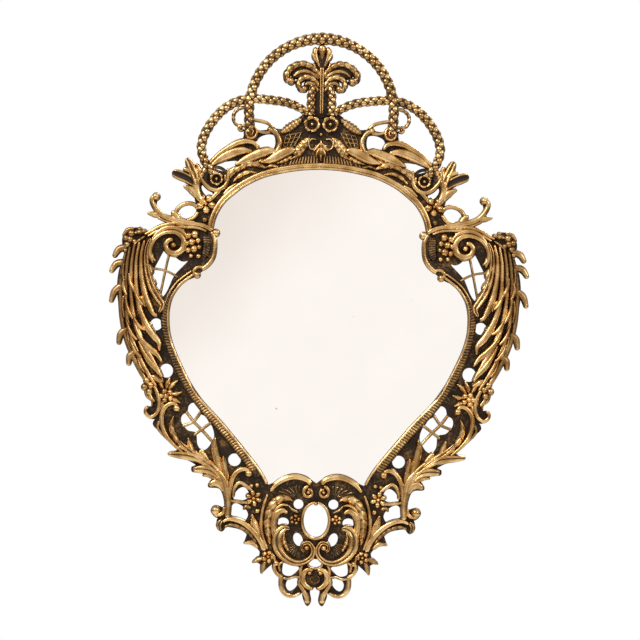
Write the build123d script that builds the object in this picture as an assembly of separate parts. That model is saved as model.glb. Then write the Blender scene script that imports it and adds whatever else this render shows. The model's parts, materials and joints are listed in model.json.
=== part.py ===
from build123d import *
from math import atan2, cos, hypot, pi, sin, sqrt, tan
import os

# Ornate cast-brass wall mirror: a frame of four castings round a pear-shaped glass, with rope
# arches, leaves and scrolls in relief, and the fixings behind that hold the glass and hang it.
# +Z is up, the front faces -Y, and the origin is the centre of the hanger's keyhole, on the
# hanger's wall side. The layout below is drawn as seen from the front, with x from the
# middle line and z from the middle of the glass. A depth is a distance in front of the
# hanger's wall side.

# ---------------------------------------------------------------- overall size
FRAME_WIDTH = 444.0
FRAME_HEIGHT = 609.0
LAYOUT_WIDTH = 444.0      # the layout's points are drawn for this width
LAYOUT_HEIGHT = 609.0     # and this height
HANGER_HEIGHT = 188.0     # keyhole above the middle of the glass, in the layout

# ---------------------------------------------------------------- depths, from the wall out
PAD_THICKNESS = 3.0
PAD_PROUD = 1.5           # how far the wall pads stand behind the hanger's wall side
BOARD_THICKNESS = 3.0
FELT_THICKNESS = 0.5
GLASS_THICKNESS = 3.0
PLATE_THICKNESS = 3.0     # ground of the castings
MOULDING_RISE = 3.5       # sight moulding above the ground
RELIEF_RISE = 5.5         # leaves and scrolls above the ground
HIGH_RELIEF_RISE = 8.0    # the boldest leaves

BOARD_BACK = PAD_THICKNESS - PAD_PROUD
GLASS_BACK = BOARD_BACK + BOARD_THICKNESS + FELT_THICKNESS
CASTING_BACK = GLASS_BACK + GLASS_THICKNESS
CASTING_FRONT = CASTING_BACK + PLATE_THICKNESS

# ---------------------------------------------------------------- rope arches
CENTRE_ROPE_RADIUS = 5.5
SIDE_ROPE_RADIUS = 5.0
CENTRE_ROPE_DEPTH = CASTING_FRONT + 4.5     # middle of the rope
SIDE_ROPE_DEPTH = CASTING_BACK + 4.5
ARCH_CENTRE = 229.5       # centre of the centre arch's round top, in the layout
ARCH_RADIUS = 76.5
ARCH_FOOT = (75, 206)     # rounded curl at the end of its leg, in the layout
ARCH_FOOT_RADIUS = 7.0
ARCH_SIDES = 10           # straight runs that the round top is bent from

# ---------------------------------------------------------------- fixings
SCREW_RADIUS = 1.5
SCREW_HEAD_RADIUS = 2.8
SCREW_HEAD_HEIGHT = 1.1
BOSS_RADIUS = 4.0
HOLE_SKIN = 1.0           # brass left in front of a tapped hole
BUTTON_THICKNESS = 1.2
BUTTON_PLAY = 0.08        # radial clearance of a turn button on its screw
BUTTON_REACH = 14.0       # screw to the tip
BUTTON_EYE_RADIUS = 4.5
BUTTON_TIP_RADIUS = 3.0
HANGER_THICKNESS = 2.0
HANGER_LENGTH = 70.0
HANGER_DEPTH = 30.0       # height of the strap up the wall
HANGER_RAISED = 44.0      # length of its raised middle
HANGER_DROP = 11.0        # keyhole centre above the strap's lower edge
KEYHOLE_RADIUS = 4.5
KEYHOLE_SLOT = 4.5        # width of the slot above the keyhole
KEYHOLE_RISE = 10.0       # keyhole centre to the slot's rounded end
LATTICE_BAR = 2.2         # width of the bars that cross the wing's two windows
SPLICE_THICKNESS = 2.5
SPLICE_END = 5.5          # screw to the strap's rounded end, and half its width
PAD_RADIUS = 9.0

HOLE_END = CASTING_FRONT - HOLE_SKIN

ACROSS = FRAME_WIDTH / LAYOUT_WIDTH
UP = FRAME_HEIGHT / LAYOUT_HEIGHT
GIRTH = sqrt(ACROSS * UP)     # what the ornament's widths and radii are multiplied by


# ---------------------------------------------------------------- drawing helpers
def place(point):
    """A layout point at the frame's real size."""
    return (point[0] * ACROSS, point[1] * UP)


def curve(points):
    """A straight line through two layout points, or a smooth curve through more."""
    placed = [place(p) for p in points]
    if len(placed) == 2:
        return Line(*placed)
    return Spline(*placed)


def outline(*runs):
    """A face inside runs of points that follow on; runs meet at corners, and a gap is closed straight."""
    edges = [curve(run) for run in runs]
    last, first = runs[-1][-1], runs[0][0]
    if last != first:
        edges.append(curve([last, first]))
    return make_face(edges)


def loop(*points):
    """A face inside one smooth closed curve."""
    return make_face(Spline(*[place(p) for p in points], periodic=True))


def band(points, start_width, end_width, middle_width=None):
    """A stroke along a smooth line, with rounded ends and a width that changes evenly."""
    line = curve(points)
    middle_width = (middle_width or (start_width + end_width) / 2) * GIRTH
    start_width *= GIRTH
    end_width *= GIRTH
    steps = 3 * len(points)
    left, right = [], []
    for step in range(steps + 1):
        t = step / steps
        if t < 0.5:
            width = start_width + (middle_width - start_width) * 2 * t
        else:
            width = middle_width + (end_width - middle_width) * (2 * t - 1)
        centre, along = line @ t, line % t
        side = Vector(-along.Y, along.X) * (width / 2)
        left.append(centre + side)
        right.append(centre - side)
    start_tip = line @ 0 - (line % 0) * (start_width / 2)
    end_tip = line @ 1 + (line % 1) * (end_width / 2)
    edges = [
        Spline(*left),
        ThreePointArc(left[-1], end_tip, right[-1]),
        Spline(*reversed(right)),
        ThreePointArc(right[0], start_tip, left[0]),
    ]
    return make_face(edges)


def oval(x, z, across, up, tilt=0):
    """An ellipse about a layout point, with its half sizes, turned by tilt degrees."""
    return Pos(*place((x, z))) * Rot(0, 0, tilt) * Ellipse(across * ACROSS, up * UP)


def dot(x, z, radius):
    """A disc about a layout point, as large as the frame's size makes it."""
    return Pos(*place((x, z))) * Circle(radius * GIRTH)


def both_sides(face):
    return face + mirror(face, about=Plane.YZ)


def slab(face, back, front):
    """A face given its thickness between two depths."""
    return extrude(Plane.XZ.offset(back) * face, amount=front - back, dir=(0, -1, 0))


def relief(faces, rise):
    """Faces standing on the castings' ground."""
    total = Sketch()
    for face in faces:
        total += face
    return slab(total, CASTING_FRONT, CASTING_FRONT + rise)


def rod(x, z, radius, back, front):
    """A plain bar from back to front about a layout point; its radius is a real size."""
    return slab(Pos(*place((x, z))) * Circle(radius), back, front)


def bent_rope(points, radius, depth):
    """A round bar along straight runs joined by arcs, each as large as its two runs allow."""
    placed = [place(p) for p in points]
    radii = []
    for before, corner, after in zip(placed, placed[1:], placed[2:]):
        run_in = (corner[0] - before[0], corner[1] - before[1])
        run_out = (after[0] - corner[0], after[1] - corner[1])
        turn = atan2(run_in[0] * run_out[1] - run_in[1] * run_out[0],
                     run_in[0] * run_out[0] + run_in[1] * run_out[1])
        radii.append(0.45 * min(hypot(*run_in), hypot(*run_out)) / tan(abs(turn) / 2))
    path = Plane.XZ.offset(depth) * FilletPolyline(*placed, radius=radii)
    profile = Plane(origin=path @ 0, z_dir=path % 0) * Circle(radius)
    return sweep(profile, path=path)


# ---------------------------------------------------------------- lines that pieces share
SIGHT_TOP = [(-2, 168.5), (20, 167.2), (40, 164), (60, 158.8), (80, 149), (90, 141.5), (100, 132.5),
             (106, 124), (110.5, 114), (113, 103)]
SIGHT_WAIST = [(113, 103), (111.5, 95), (109, 83), (110, 73), (115, 65.5), (122, 60), (130, 53.5),
               (139.5, 49)]
SIGHT_SIDE = [(139.5, 49), (147, 42.5), (155, 30), (158, 18), (158.5, 8), (157.5, -5), (155, -16),
              (151, -27), (145, -40), (137, -56), (129, -70), (119, -81.5), (109, -92), (100, -101.5),
              (84, -120.5), (67.5, -140.5), (59.5, -151), (54, -160), (51, -167)]
SIGHT_FOOT = [(51, -167), (45, -164.5), (38, -160.5), (30, -158), (20, -156.3), (10, -158.5),
              (4, -162), (-2, -166.5)]
SEAM_WAIST = [(113, 103), (119, 105.5), (128, 108), (140, 109)]
SEAM_FOOT = [(51, -167), (59, -172), (59, -238)]

# screws of the turn buttons, with the bearing of the button at rest (degrees from +x, seen from
# the front): it points over the backing board
BUTTONS = {
    "top": (47, 177, 255),
    "side": (171, 19, 180),
    "low": (146, -72, 150),
    "foot": (74, -157, 145),
}
WAIST_SCREWS = [(126, 93), (126, 116)]
FOOT_SCREWS = [(50.5, -181), (66.5, -181)]
PADS = [(70, 120), (70, -70)]


# ---------------------------------------------------------------- outlines of the ornaments
def rosette(x, z, radius, petals):
    """A flower: round petals about a round eye."""
    face = dot(x, z, radius * 0.55)
    petal = Circle(radius * 0.36 * GIRTH)
    reach = radius * 0.64 * GIRTH
    for turn in range(petals):
        angle = 2 * pi * turn / petals + pi / petals
        face += Pos(*place((x, z))) * Pos(reach * cos(angle), reach * sin(angle)) * petal
    return face


def sprig_faces():
    return [
        band([(121, 128), (129, 138), (131.5, 148), (128, 159)], 7, 7),
        band([(131, 148), (134, 162), (140, 176)], 8, 4, 8),
        band([(132, 149), (144, 157), (155, 161)], 9, 5, 9),
        band([(130, 137), (137, 145), (142, 147.5)], 7, 4),
        dot(121, 130, 9.5),
        oval(141, 121, 13.8, 10.8, -20) - oval(141, 121, 10, 7, -20),
        band([(150, 111), (160, 113), (169, 118.5), (175.5, 126.5), (175, 134)], 5, 6),
        band([(170, 119), (176, 118), (182, 119)], 5, 2),
    ]


def crest_leaf_faces():
    return [
        band([(12, 201), (20, 193), (28, 184)], 7, 4, 8),
        band([(28, 187), (40, 185), (50, 179), (62, 175)], 6, 4, 9),
        band([(54, 185), (66, 183.5), (79, 178), (90, 173)], 5, 4, 8),
        band([(69, 191), (84, 196), (97, 191), (108, 183), (117, 173)], 6, 6, 9),
        band([(22, 220), (31, 213), (41, 206.5)], 5, 4, 7),
        band([(54, 208), (46, 203.5), (44.5, 195), (47, 187), (53, 183)], 4, 4),
        band([(61, 169), (73, 174), (87, 167.5), (96, 162), (98, 154)], 5, 4, 6),
    ]


def palmette_faces():
    return [
        band([(0, 224), (0, 250), (0, 272)], 5, 6),
        band([(0, 266), (0, 282), (0, 299)], 8, 8, 20),
        band([(3, 256), (6, 270), (16, 279), (28, 279), (36, 272), (36, 263)], 5, 5, 6),
        band([(2, 248), (8, 262), (18, 265), (24, 260), (22, 253)], 4, 4, 5),
        band([(11, 225), (11, 240), (11, 253)], 8, 8),
        oval(0, 226, 14, 5),
    ]


def wing_scroll_faces():
    faces = [
        band([(118, 101), (128, 104.5), (142, 105.5), (158, 105), (172, 101), (184, 95)], 5, 4, 6),
        dot(153.5, 86.5, 9.5),
        band([(144, 86), (146, 95), (153, 100.5), (162, 100), (171, 95), (177, 86), (178, 74)], 4, 4, 5),
        band([(150, -87), (158, -84), (165, -94), (164.5, -108), (156, -121), (142, -133)], 6, 4, 4),
        band([(150, -98), (152.5, -108), (150, -118), (144, -126)], 5, 4, 7),
        band([(178, -72), (171, -80), (170, -90), (175, -96), (181, -92)], 5, 5),
        dot(160, -73, 8),
        band([(154, -69), (148, -63)], 6, 3),
        band([(152, -76), (145, -77)], 6, 3),
        band([(72, -154), (81, -152), (87, -160), (90, -171), (91, -184)], 5, 4),
        band([(69, -172), (77, -167.5), (83, -167), (87, -173)], 4, 3),
        band([(62, -176), (66, -184), (65, -196), (61, -215)], 9, 6, 8),
        band([(66, -226), (68, -215), (80, -206), (97, -206), (101, -212)], 6, 6),
        dot(106, -195, 5),
    ]
    for x, z in [(193, 100), (202, 98), (205, 90), (197, 91), (202, 83)]:
        faces.append(dot(x, z, 4.2))
    return faces


def upper_acanthus_faces():
    return [
        band([(178, 91), (184, 75), (184.5, 55), (181, 36), (174, 26)], 7, 5, 8),
        band([(184, 88), (191, 66), (192, 44), (189, 25), (180, 11)], 7, 5, 8),
        band([(198, 74), (199, 45), (197, 17), (189, 0), (176, -13)], 7, 5, 8),
        band([(207, 72), (204, 40), (202, 10), (197, -15), (187, -34), (174, -54)], 6, 5, 7),
        band([(208, 20), (206, 0), (200, -20), (191, -41), (181, -60)], 6, 9, 10),
        band([(181, -22), (173, -29), (166, -38)], 8, 4),
    ]


def edge_tip_faces():
    """Leaf tips that stand out along the wing's outer edge."""
    tips = [
        [(204, 82), (212, 80.5), (217.5, 73)],
        [(206, 66), (215, 65), (221, 56.5)],
        [(208, 42), (216, 36.5), (220, 25)],
        [(203, -4), (209.5, -9), (211, -19.5)],
        [(193, -28), (200, -32), (200, -41.5)],
    ]
    return [band(tip, 8, 1.6, 5) for tip in tips]


def lower_acanthus_faces():
    return [
        band([(93, -199), (93.5, -182), (97, -165), (108, -149), (126, -135), (142, -126)], 6, 5, 9),
        band([(118, -139), (138, -135), (155, -135.5)], 8, 4, 9),
        band([(106, -150), (118, -150), (129, -151)], 8, 5, 9),
        band([(98, -162), (106, -163), (112, -168)], 7, 4, 8),
        band([(118, -141), (112, -130), (108, -118)], 7, 3),
        band([(129, -134), (133, -125), (135, -117)], 6, 3),
        band([(104, -152), (100, -146), (98, -139)], 6, 3),
    ]


def cartouche_scroll_faces():
    return [
        band([(9, -165), (15, -161), (23, -159.5), (33, -162), (43, -168), (49, -175)], 4, 4, 5),
        dot(7, -173, 6.3),
        band([(53, -181), (55, -196), (55, -212), (51, -232)], 5, 4),
        band([(24, -183), (35, -181.5), (43, -186), (47, -198), (48, -213), (47, -228)], 6, 4, 8),
        band([(30, -196), (40, -197), (42, -206), (39, -214)], 5, 3),
        band([(6, -240), (18, -246), (30, -242), (37, -232), (37, -221), (31, -215)], 8, 5, 10),
        dot(8.5, -232, 7.3),
        dot(22, -203, 4.5),
        dot(49, -243, 6),
        band([(54, -245), (63, -248.5)], 6, 3),
        band([(51, -249), (55, -259)], 5, 3),
        band([(5, -262), (11, -258), (12, -268), (5, -273), (-2, -273)], 5, 4),
        band([(14, -272), (9.5, -281), (7.5, -291)], 5, 6),
        band([(19, -281), (28, -282), (35, -274), (35, -266), (41, -258), (41, -249)], 4, 4),
    ]


def glass_face():
    """The glass's outline: round top, narrow waist, long sides and a short straight foot."""
    top = [(-117.5, 104), (-110, 127), (-92, 146), (-62, 163), (-32, 171.3), (0, 174), (32, 171.3),
           (62, 163), (92, 146), (110, 127), (117.5, 104)]
    waist = [(117.5, 104), (117, 85), (123, 66), (140, 55.5)]
    side = [(140, 55.5), (153, 44), (161, 26), (163.5, 5), (160, -17), (151, -39), (138, -63),
            (121, -85), (102, -108), (83, -130), (67, -150), (55, -172)]
    left = [[(-x, z) for x, z in reversed(run)] for run in (side, waist)]
    return outline(*left, top, waist, side)


# ---------------------------------------------------------------- castings
def bosses(names, side):
    """Tapped bosses behind a casting, for the screws of the turn buttons."""
    total = Part()
    for name in names:
        x, z, _ = BUTTONS[name]
        boss = rod(x, z, BOSS_RADIUS, BOARD_BACK, CASTING_BACK)
        total += boss if side > 0 else mirror(boss, about=Plane.YZ)
    return total


def hanger_screw_x():
    """Distance of the hanger's screws from the middle line, in the layout: mid-foot."""
    return (HANGER_LENGTH + HANGER_RAISED) / 4 / ACROSS


def tapped_holes(screws, back, front):
    total = Part()
    for x, z in screws:
        total += rod(x, z, SCREW_RADIUS, back, front)
    return total


def button_holes(names):
    return tapped_holes([BUTTONS[name][:2] for name in names], BOARD_BACK, HOLE_END)


def crest_casting():
    """Top casting: solid middle, shoulders with their scrolls, and the upper sight moulding."""
    half = outline(
        SIGHT_TOP,
        SEAM_WAIST,
        [(140, 109), (134, 113), (131, 119), (129, 125), (132, 131), (133, 140), (130, 148),
         (127, 153), (128, 158), (127, 165), (124, 171), (118, 176)],
        [(118, 176), (112, 182), (100, 190), (90, 195), (84, 199), (82, 206)],
        [(82, 206), (76, 209), (68, 209), (60, 209), (50, 211), (42, 210.5), (30, 218), (21, 225),
         (14, 229), (-2, 230)],
    )
    for piece in sprig_faces():
        half += piece
    half += band([(50, 210.5), (56, 216), (64, 218.5), (76, 220)], 3, 3)
    half += band([(77, 207), (80, 213), (88, 213.5), (92.5, 218), (92.5, 226), (87, 231.5), (78, 233)],
                 3, 3)
    half -= oval(120, 143.5, 8, 4, 50)
    half -= loop((51, 204), (62, 203), (67, 199), (65, 189), (57, 186.5), (50, 190), (48.5, 198))
    half -= loop((83, 174), (90, 176), (100, 175), (110, 171.5), (112, 168.5), (107, 165.5),
                 (99, 165), (91, 169))
    body = slab(both_sides(half), CASTING_BACK, CASTING_FRONT)
    edge = band([(-2, 171.5), (20, 170.3), (41, 167), (61.5, 161.7), (82, 151.8), (92, 144),
                 (102.5, 134.5), (108.7, 125.5), (113.5, 115), (116, 105.5)], 5, 4)
    dish = dot(110, 157, 13.5) - dot(110, 157, 10)
    body += slab(both_sides(edge + dish), CASTING_FRONT, CASTING_FRONT + MOULDING_RISE)
    body += bosses(["top"], 1) + bosses(["top"], -1)
    holes = button_holes(["top"]) + tapped_holes([WAIST_SCREWS[1]], CASTING_BACK, HOLE_END)
    holes += tapped_holes([(hanger_screw_x(), HANGER_HEIGHT)], CASTING_BACK, HOLE_END)
    return body - holes - mirror(holes, about=Plane.YZ)


def lattice_cells():
    """The open cells of the wing's upper lattice, between two crossing bars."""
    window = loop((141, 69), (155, 76), (161, 82), (170, 70), (175, 60), (176.5, 48), (173, 41),
                  (166, 31), (161, 37), (155, 51), (148, 60))
    window -= band([(157, 84), (163, 59), (169, 28)], LATTICE_BAR, LATTICE_BAR)
    window -= band([(148, 51), (163, 58.5), (181, 61)], LATTICE_BAR, LATTICE_BAR)
    return window


def low_lattice_cells():
    """The six open cells of the wing's lower lattice, between one long bar and two short ones."""
    window = loop((123, -92.5), (126, -84.6), (131.5, -81.2), (136.5, -85), (138, -91), (142.5, -94),
                  (144.3, -98.6), (143.5, -103), (140, -107.5), (136, -110.8), (129, -112.5),
                  (127.3, -119), (126, -126.6), (120.6, -131.2), (115, -128), (111.5, -122.5),
                  (109.3, -118), (110, -109.5), (112.5, -104), (116, -99.5), (119.4, -95))
    window -= band([(140, -89.5), (131, -101), (122.4, -109.5), (108, -125)], LATTICE_BAR, LATTICE_BAR)
    window -= band([(122, -89), (131, -101), (145, -107)], LATTICE_BAR, LATTICE_BAR)
    window -= band([(109, -99.5), (122.4, -109.5), (132, -117)], LATTICE_BAR, LATTICE_BAR)
    return window


def wing_openings():
    """The pierced holes of the right wing."""
    return [
        lattice_cells(),
        oval(172, 1.5, 6.3, 6.3),
        oval(160.5, -47.5, 7.0, 7.3),
        oval(87, -141, 6.7, 6.7),
        low_lattice_cells(),
        loop((71, -177), (79, -170), (85, -175), (87.5, -182), (80, -184), (73, -182)),
        loop((72, -200), (78, -190), (87, -187.5), (90, -193), (90, -199), (82, -202), (75, -205)),
    ]


def wing_casting():
    """Right side casting, from the waist to the cartouche, with the lower sight moulding."""
    plate = outline(
        SEAM_WAIST,
        [(140, 109), (150, 109.5), (160, 108), (170, 105), (178, 100), (186, 97)],
        [(186, 97), (189, 103), (198, 103.5), (207, 98), (209.5, 89), (206, 80)],
        [(206, 80), (209, 70), (212, 60), (214, 45), (213.5, 30), (211, 15), (209.5, 0), (207, -12),
         (201, -27), (192, -43), (186, -54), (183, -64), (181, -74)],
        [(181, -74), (176, -79), (175, -86)],
        [(175, -86), (181, -86.5), (184, -91), (180, -97), (172, -99)],
        [(172, -99), (174, -105), (168, -111), (158, -119), (147, -127)],
        [(147, -127), (149, -132), (158, -134.5)],
        [(158, -134.5), (145, -139.5), (135, -143), (128, -147)],
        [(128, -147), (132.5, -149)],
        [(132.5, -149), (132, -154), (122, -155), (113, -159), (107, -163.5)],
        [(107, -163.5), (114.5, -166)],
        [(114.5, -166), (114.5, -170), (104, -171.5), (99, -179), (97.5, -192)],
        [(97.5, -192), (101, -190.5), (107, -189.5), (111.5, -194), (109, -200), (104, -203)],
        [(104, -203), (105, -210), (101, -217), (95, -212)],
        [(95, -212), (88, -213), (80, -215), (73, -220)],
        [(73, -220), (76, -229)],
        [(76, -229), (67, -229), (62, -234), (59, -238)],
        list(reversed(SEAM_FOOT[1:])),
        [(59, -172), (51, -167)],
        list(reversed(SIGHT_SIDE)),
        list(reversed(SIGHT_WAIST)),
    )
    for tip in edge_tip_faces():
        plate += tip
    for opening in wing_openings():
        plate -= opening
    body = slab(plate, CASTING_BACK, CASTING_FRONT)
    edge = band([(158, 33), (162.5, 18), (162.5, 0), (156.5, -24), (143, -54), (126, -80),
                 (104.5, -104), (88, -123), (75, -139), (63, -155)], 6, 7, 8)
    curls = dot(113.5, 97, 4.5) + dot(130, 58.5, 4.5)
    rim = band([(113.5, 95), (112.5, 82), (116, 71), (128, 60.5)], 5, 5)
    for opening in wing_openings():
        edge -= opening
    body += slab(edge + curls + rim, CASTING_FRONT, CASTING_FRONT + MOULDING_RISE)
    body += bosses(["side", "low", "foot"], 1)
    body -= button_holes(["side", "low", "foot"])
    body -= tapped_holes([WAIST_SCREWS[0], FOOT_SCREWS[1]], CASTING_BACK, HOLE_END)
    return body


def cartouche_casting():
    """Bottom casting: the pierced cartouche with its oval, and the pendant under it."""
    half = outline(
        list(reversed(SIGHT_FOOT)),
        [(51, -167), (59, -172)],
        [(59, -172), (59, -238)],
        [(59, -238), (60, -243), (67, -249)],
        [(67, -249), (58, -252), (57, -262)],
        [(57, -262), (50, -255), (44, -250)],
        [(44, -250), (43, -257), (37, -267), (37.5, -274), (33, -282), (26, -285), (18, -283),
         (13, -281)],
        [(13, -281), (11, -291), (7.5, -295), (4, -291), (5, -280), (4, -276), (-2, -276)],
    )
    openings = [
        oval(18.5, -187, 5.2, 5.2),
        oval(34.5, -206.5, 6, 5),
        oval(18.5, -224.5, 4.8, 7.2, -20),
        loop((17, -254), (24, -250.5), (33, -249), (34.5, -255), (34, -261), (28, -263.5), (21, -260)),
        loop((18, -266), (23, -265.5), (29, -268), (30, -276), (27, -279), (22, -277), (18.5, -272)),
    ]
    for opening in openings:
        half -= opening
    face = both_sides(half) - oval(0, -204, 13.5, 18.5) - oval(0, -249.5, 7, 4.5)
    body = slab(face, CASTING_BACK, CASTING_FRONT)
    holes = tapped_holes([FOOT_SCREWS[0]], CASTING_BACK, HOLE_END)
    return body - holes - mirror(holes, about=Plane.YZ)


# ---------------------------------------------------------------- arches
def centre_rope_arch():
    """Tall round arch on two straight legs, each ending in a rounded curl."""
    foot_x, foot_z = ARCH_FOOT
    corner = ARCH_RADIUS / cos(pi / 2 / ARCH_SIDES)
    points = [(foot_x, foot_z)]
    for step in range(ARCH_SIDES):
        angle = pi * (step + 0.5) / ARCH_SIDES
        points.append((corner * cos(angle), ARCH_CENTRE + corner * sin(angle)))
    points.append((-foot_x, foot_z))
    arch = bent_rope(points, CENTRE_ROPE_RADIUS, CENTRE_ROPE_DEPTH)
    for side in (1, -1):
        x, z = place((side * foot_x, foot_z))
        arch += Pos(x, -CENTRE_ROPE_DEPTH, z) * Sphere(ARCH_FOOT_RADIUS)
    return arch


def side_rope_arch():
    """Lower arch at the right, from the middle of the crest to the shoulder's volute."""
    points = [(14, 229), (40, 240.5), (72, 244), (97, 240), (115, 222), (127, 200), (128, 180),
              (114, 162)]
    return bent_rope(points, SIDE_ROPE_RADIUS, SIDE_ROPE_DEPTH)


# ---------------------------------------------------------------- glass and what holds it
def turn_button(name):
    """A flat brass tongue, round at its eye and its tip, that turns on its screw."""
    x, z, bearing = BUTTONS[name]
    along = BUTTON_REACH - BUTTON_TIP_RADIUS
    face = Circle(BUTTON_EYE_RADIUS) + Pos(along, 0) * Circle(BUTTON_TIP_RADIUS)
    face += Polygon((0, -BUTTON_EYE_RADIUS), (along, -BUTTON_TIP_RADIUS), (along, BUTTON_TIP_RADIUS),
                    (0, BUTTON_EYE_RADIUS), align=None)
    face -= Circle(SCREW_RADIUS + BUTTON_PLAY)
    turned = Pos(*place((x, z))) * Rot(0, 0, bearing) * face
    return slab(turned, BOARD_BACK - BUTTON_THICKNESS, BOARD_BACK)


def screw(x, z, under_head, tip):
    """A plain screw from its tip, deep in the casting, to a low round head."""
    shank = rod(x, z, SCREW_RADIUS, under_head, tip)
    head = rod(x, z, SCREW_HEAD_RADIUS, under_head - SCREW_HEAD_HEIGHT, under_head)
    return shank + head


def hanger_plate():
    """A steel strap, stepped so that its middle stands off the casting, with a keyhole."""
    x, z = place((0, HANGER_HEIGHT))
    low = z - HANGER_DROP
    high = low + HANGER_DEPTH
    half, raised = HANGER_LENGTH / 2, HANGER_RAISED / 2

    def block(x_from, x_to, back, front):
        middle, wide = (x_from + x_to) / 2, x_to - x_from
        face = Pos(middle, (low + high) / 2) * Rectangle(wide, HANGER_DEPTH)
        return slab(face, back, front)

    strap = block(-raised, raised, 0, HANGER_THICKNESS)
    for side in (1, -1):
        wall_from, wall_to = sorted((side * (raised - HANGER_THICKNESS), side * raised))
        strap += block(wall_from, wall_to, 0, CASTING_BACK)
        foot_from, foot_to = sorted((side * (raised - HANGER_THICKNESS), side * half))
        strap += block(foot_from, foot_to, CASTING_BACK - HANGER_THICKNESS, CASTING_BACK)
        strap -= rod(side * hanger_screw_x(), HANGER_HEIGHT, SCREW_RADIUS, 0, CASTING_BACK)
    keyhole = Pos(x, z) * Circle(KEYHOLE_RADIUS)
    keyhole += Pos(x, z + KEYHOLE_RISE / 2) * Rectangle(KEYHOLE_SLOT, KEYHOLE_RISE)
    keyhole += Pos(x, z + KEYHOLE_RISE) * Circle(KEYHOLE_SLOT / 2)
    return strap - slab(keyhole, 0, HANGER_THICKNESS)


def splice(screws):
    """A strap behind a joint between two castings, with rounded ends about its screws."""
    (x_low, z_low), (x_high, z_high) = [place(p) for p in screws]
    run = hypot(x_high - x_low, z_high - z_low)
    bearing = atan2(z_high - z_low, x_high - x_low) * 180 / pi
    face = SlotCenterToCenter(run, 2 * SPLICE_END)
    turned = Pos((x_low + x_high) / 2, (z_low + z_high) / 2) * Rot(0, 0, bearing) * face
    body = slab(turned, CASTING_BACK - SPLICE_THICKNESS, CASTING_BACK)
    return body - tapped_holes(screws, 0, CASTING_BACK)


def pair(piece):
    """A piece of the right side and its mirror image, as separate solids in one group."""
    return Compound(children=[*piece.solids(), *mirror(piece, about=Plane.YZ).solids()])


def group(pieces):
    return Compound(children=[solid for piece in pieces for solid in piece.solids()])


# ---------------------------------------------------------------- assembly
def build():
    """Every node of the mirror, in the layout's frame: name to solid or group of solids."""
    nodes = {}

    def add_pair(name, right):
        nodes["right_" + name] = right
        nodes["left_" + name] = mirror(right, about=Plane.YZ)

    wing = wing_casting()
    crest = crest_casting() - wing - mirror(wing, about=Plane.YZ)
    cartouche = cartouche_casting()
    nodes["crest_casting"] = crest
    add_pair("wing_casting", wing)
    nodes["cartouche_casting"] = cartouche

    centre_arch = centre_rope_arch() - crest
    palmette = relief([both_sides(face) for face in palmette_faces()], RELIEF_RISE) - centre_arch
    side_arch = side_rope_arch() - crest - centre_arch - palmette
    nodes["centre_rope_arch"] = centre_arch
    add_pair("rope_arch", side_arch)
    nodes["palmette"] = palmette

    volute_rosette = relief([rosette(110, 157, 8, 6)], RELIEF_RISE)
    crest_rosette = relief([rosette(9.7, 215.7, 9, 6)], RELIEF_RISE) - palmette
    crest_bead = relief([dot(0, 205, 2.4)], RELIEF_RISE)
    nodes["crest_rosettes"] = group([pair(crest_rosette), crest_bead])
    nodes["volute_rosettes"] = pair(volute_rosette - side_arch)
    leaves = relief(crest_leaf_faces(), RELIEF_RISE) - crest - centre_arch - side_arch - crest_rosette
    add_pair("crest_leaves", leaves)
    sprig = relief(sprig_faces(), RELIEF_RISE) - crest - side_arch
    add_pair("shoulder_sprig", sprig)

    acanthus = relief(upper_acanthus_faces(), HIGH_RELIEF_RISE)
    add_pair("upper_acanthus", acanthus)
    low_acanthus = relief(lower_acanthus_faces(), RELIEF_RISE) - wing
    add_pair("lower_acanthus", low_acanthus)
    scrolls = relief(wing_scroll_faces(), RELIEF_RISE) - acanthus - low_acanthus - sprig
    add_pair("wing_scrolls", scrolls - crest - wing)
    cartouche_scrolls = [both_sides(face) for face in cartouche_scroll_faces()]
    nodes["cartouche_scrolls"] = relief(cartouche_scrolls, RELIEF_RISE)

    outline_of_glass = glass_face()
    nodes["mirror_glass"] = slab(outline_of_glass, GLASS_BACK, CASTING_BACK)
    nodes["felt_sheet"] = slab(outline_of_glass, GLASS_BACK - FELT_THICKNESS, GLASS_BACK)
    nodes["backing_board"] = slab(outline_of_glass, BOARD_BACK, GLASS_BACK - FELT_THICKNESS)
    pads = [rod(x, z, PAD_RADIUS, BOARD_BACK - PAD_THICKNESS, BOARD_BACK) for x, z in PADS]
    nodes["wall_pads"] = pair(group(pads))

    button_back = BOARD_BACK - BUTTON_THICKNESS
    button_screws = []
    for name, (x, z, _) in BUTTONS.items():
        add_pair(name + "_turn_button", turn_button(name))
        button_screws.append(screw(x, z, button_back, HOLE_END))
    nodes["turn_button_screws"] = pair(group(button_screws))

    nodes["hanger_plate"] = hanger_plate()
    hanger_screw = screw(hanger_screw_x(), HANGER_HEIGHT, CASTING_BACK - HANGER_THICKNESS, HOLE_END)
    nodes["hanger_screws"] = pair(hanger_screw)
    add_pair("waist_splice", splice(WAIST_SCREWS))
    add_pair("foot_splice", splice(FOOT_SCREWS))
    splice_screws = [screw(x, z, CASTING_BACK - SPLICE_THICKNESS, HOLE_END)
                     for x, z in WAIST_SCREWS + FOOT_SCREWS]
    nodes["splice_screws"] = pair(group(splice_screws))
    return nodes


def main():
    os.makedirs("parts", exist_ok=True)
    to_hanger = Location((0, 0, -HANGER_HEIGHT * UP))
    for name, piece in build().items():
        export_step(piece.moved(to_hanger), f"parts/{name}.step")


main()
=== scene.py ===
"""Looks of the ornate cast-brass wall mirror: relief carried along drawn lines, patina and soft light."""
import bpy
import bmesh
import json
import numpy as np
from math import radians
from mathutils import Matrix, Vector


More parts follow.
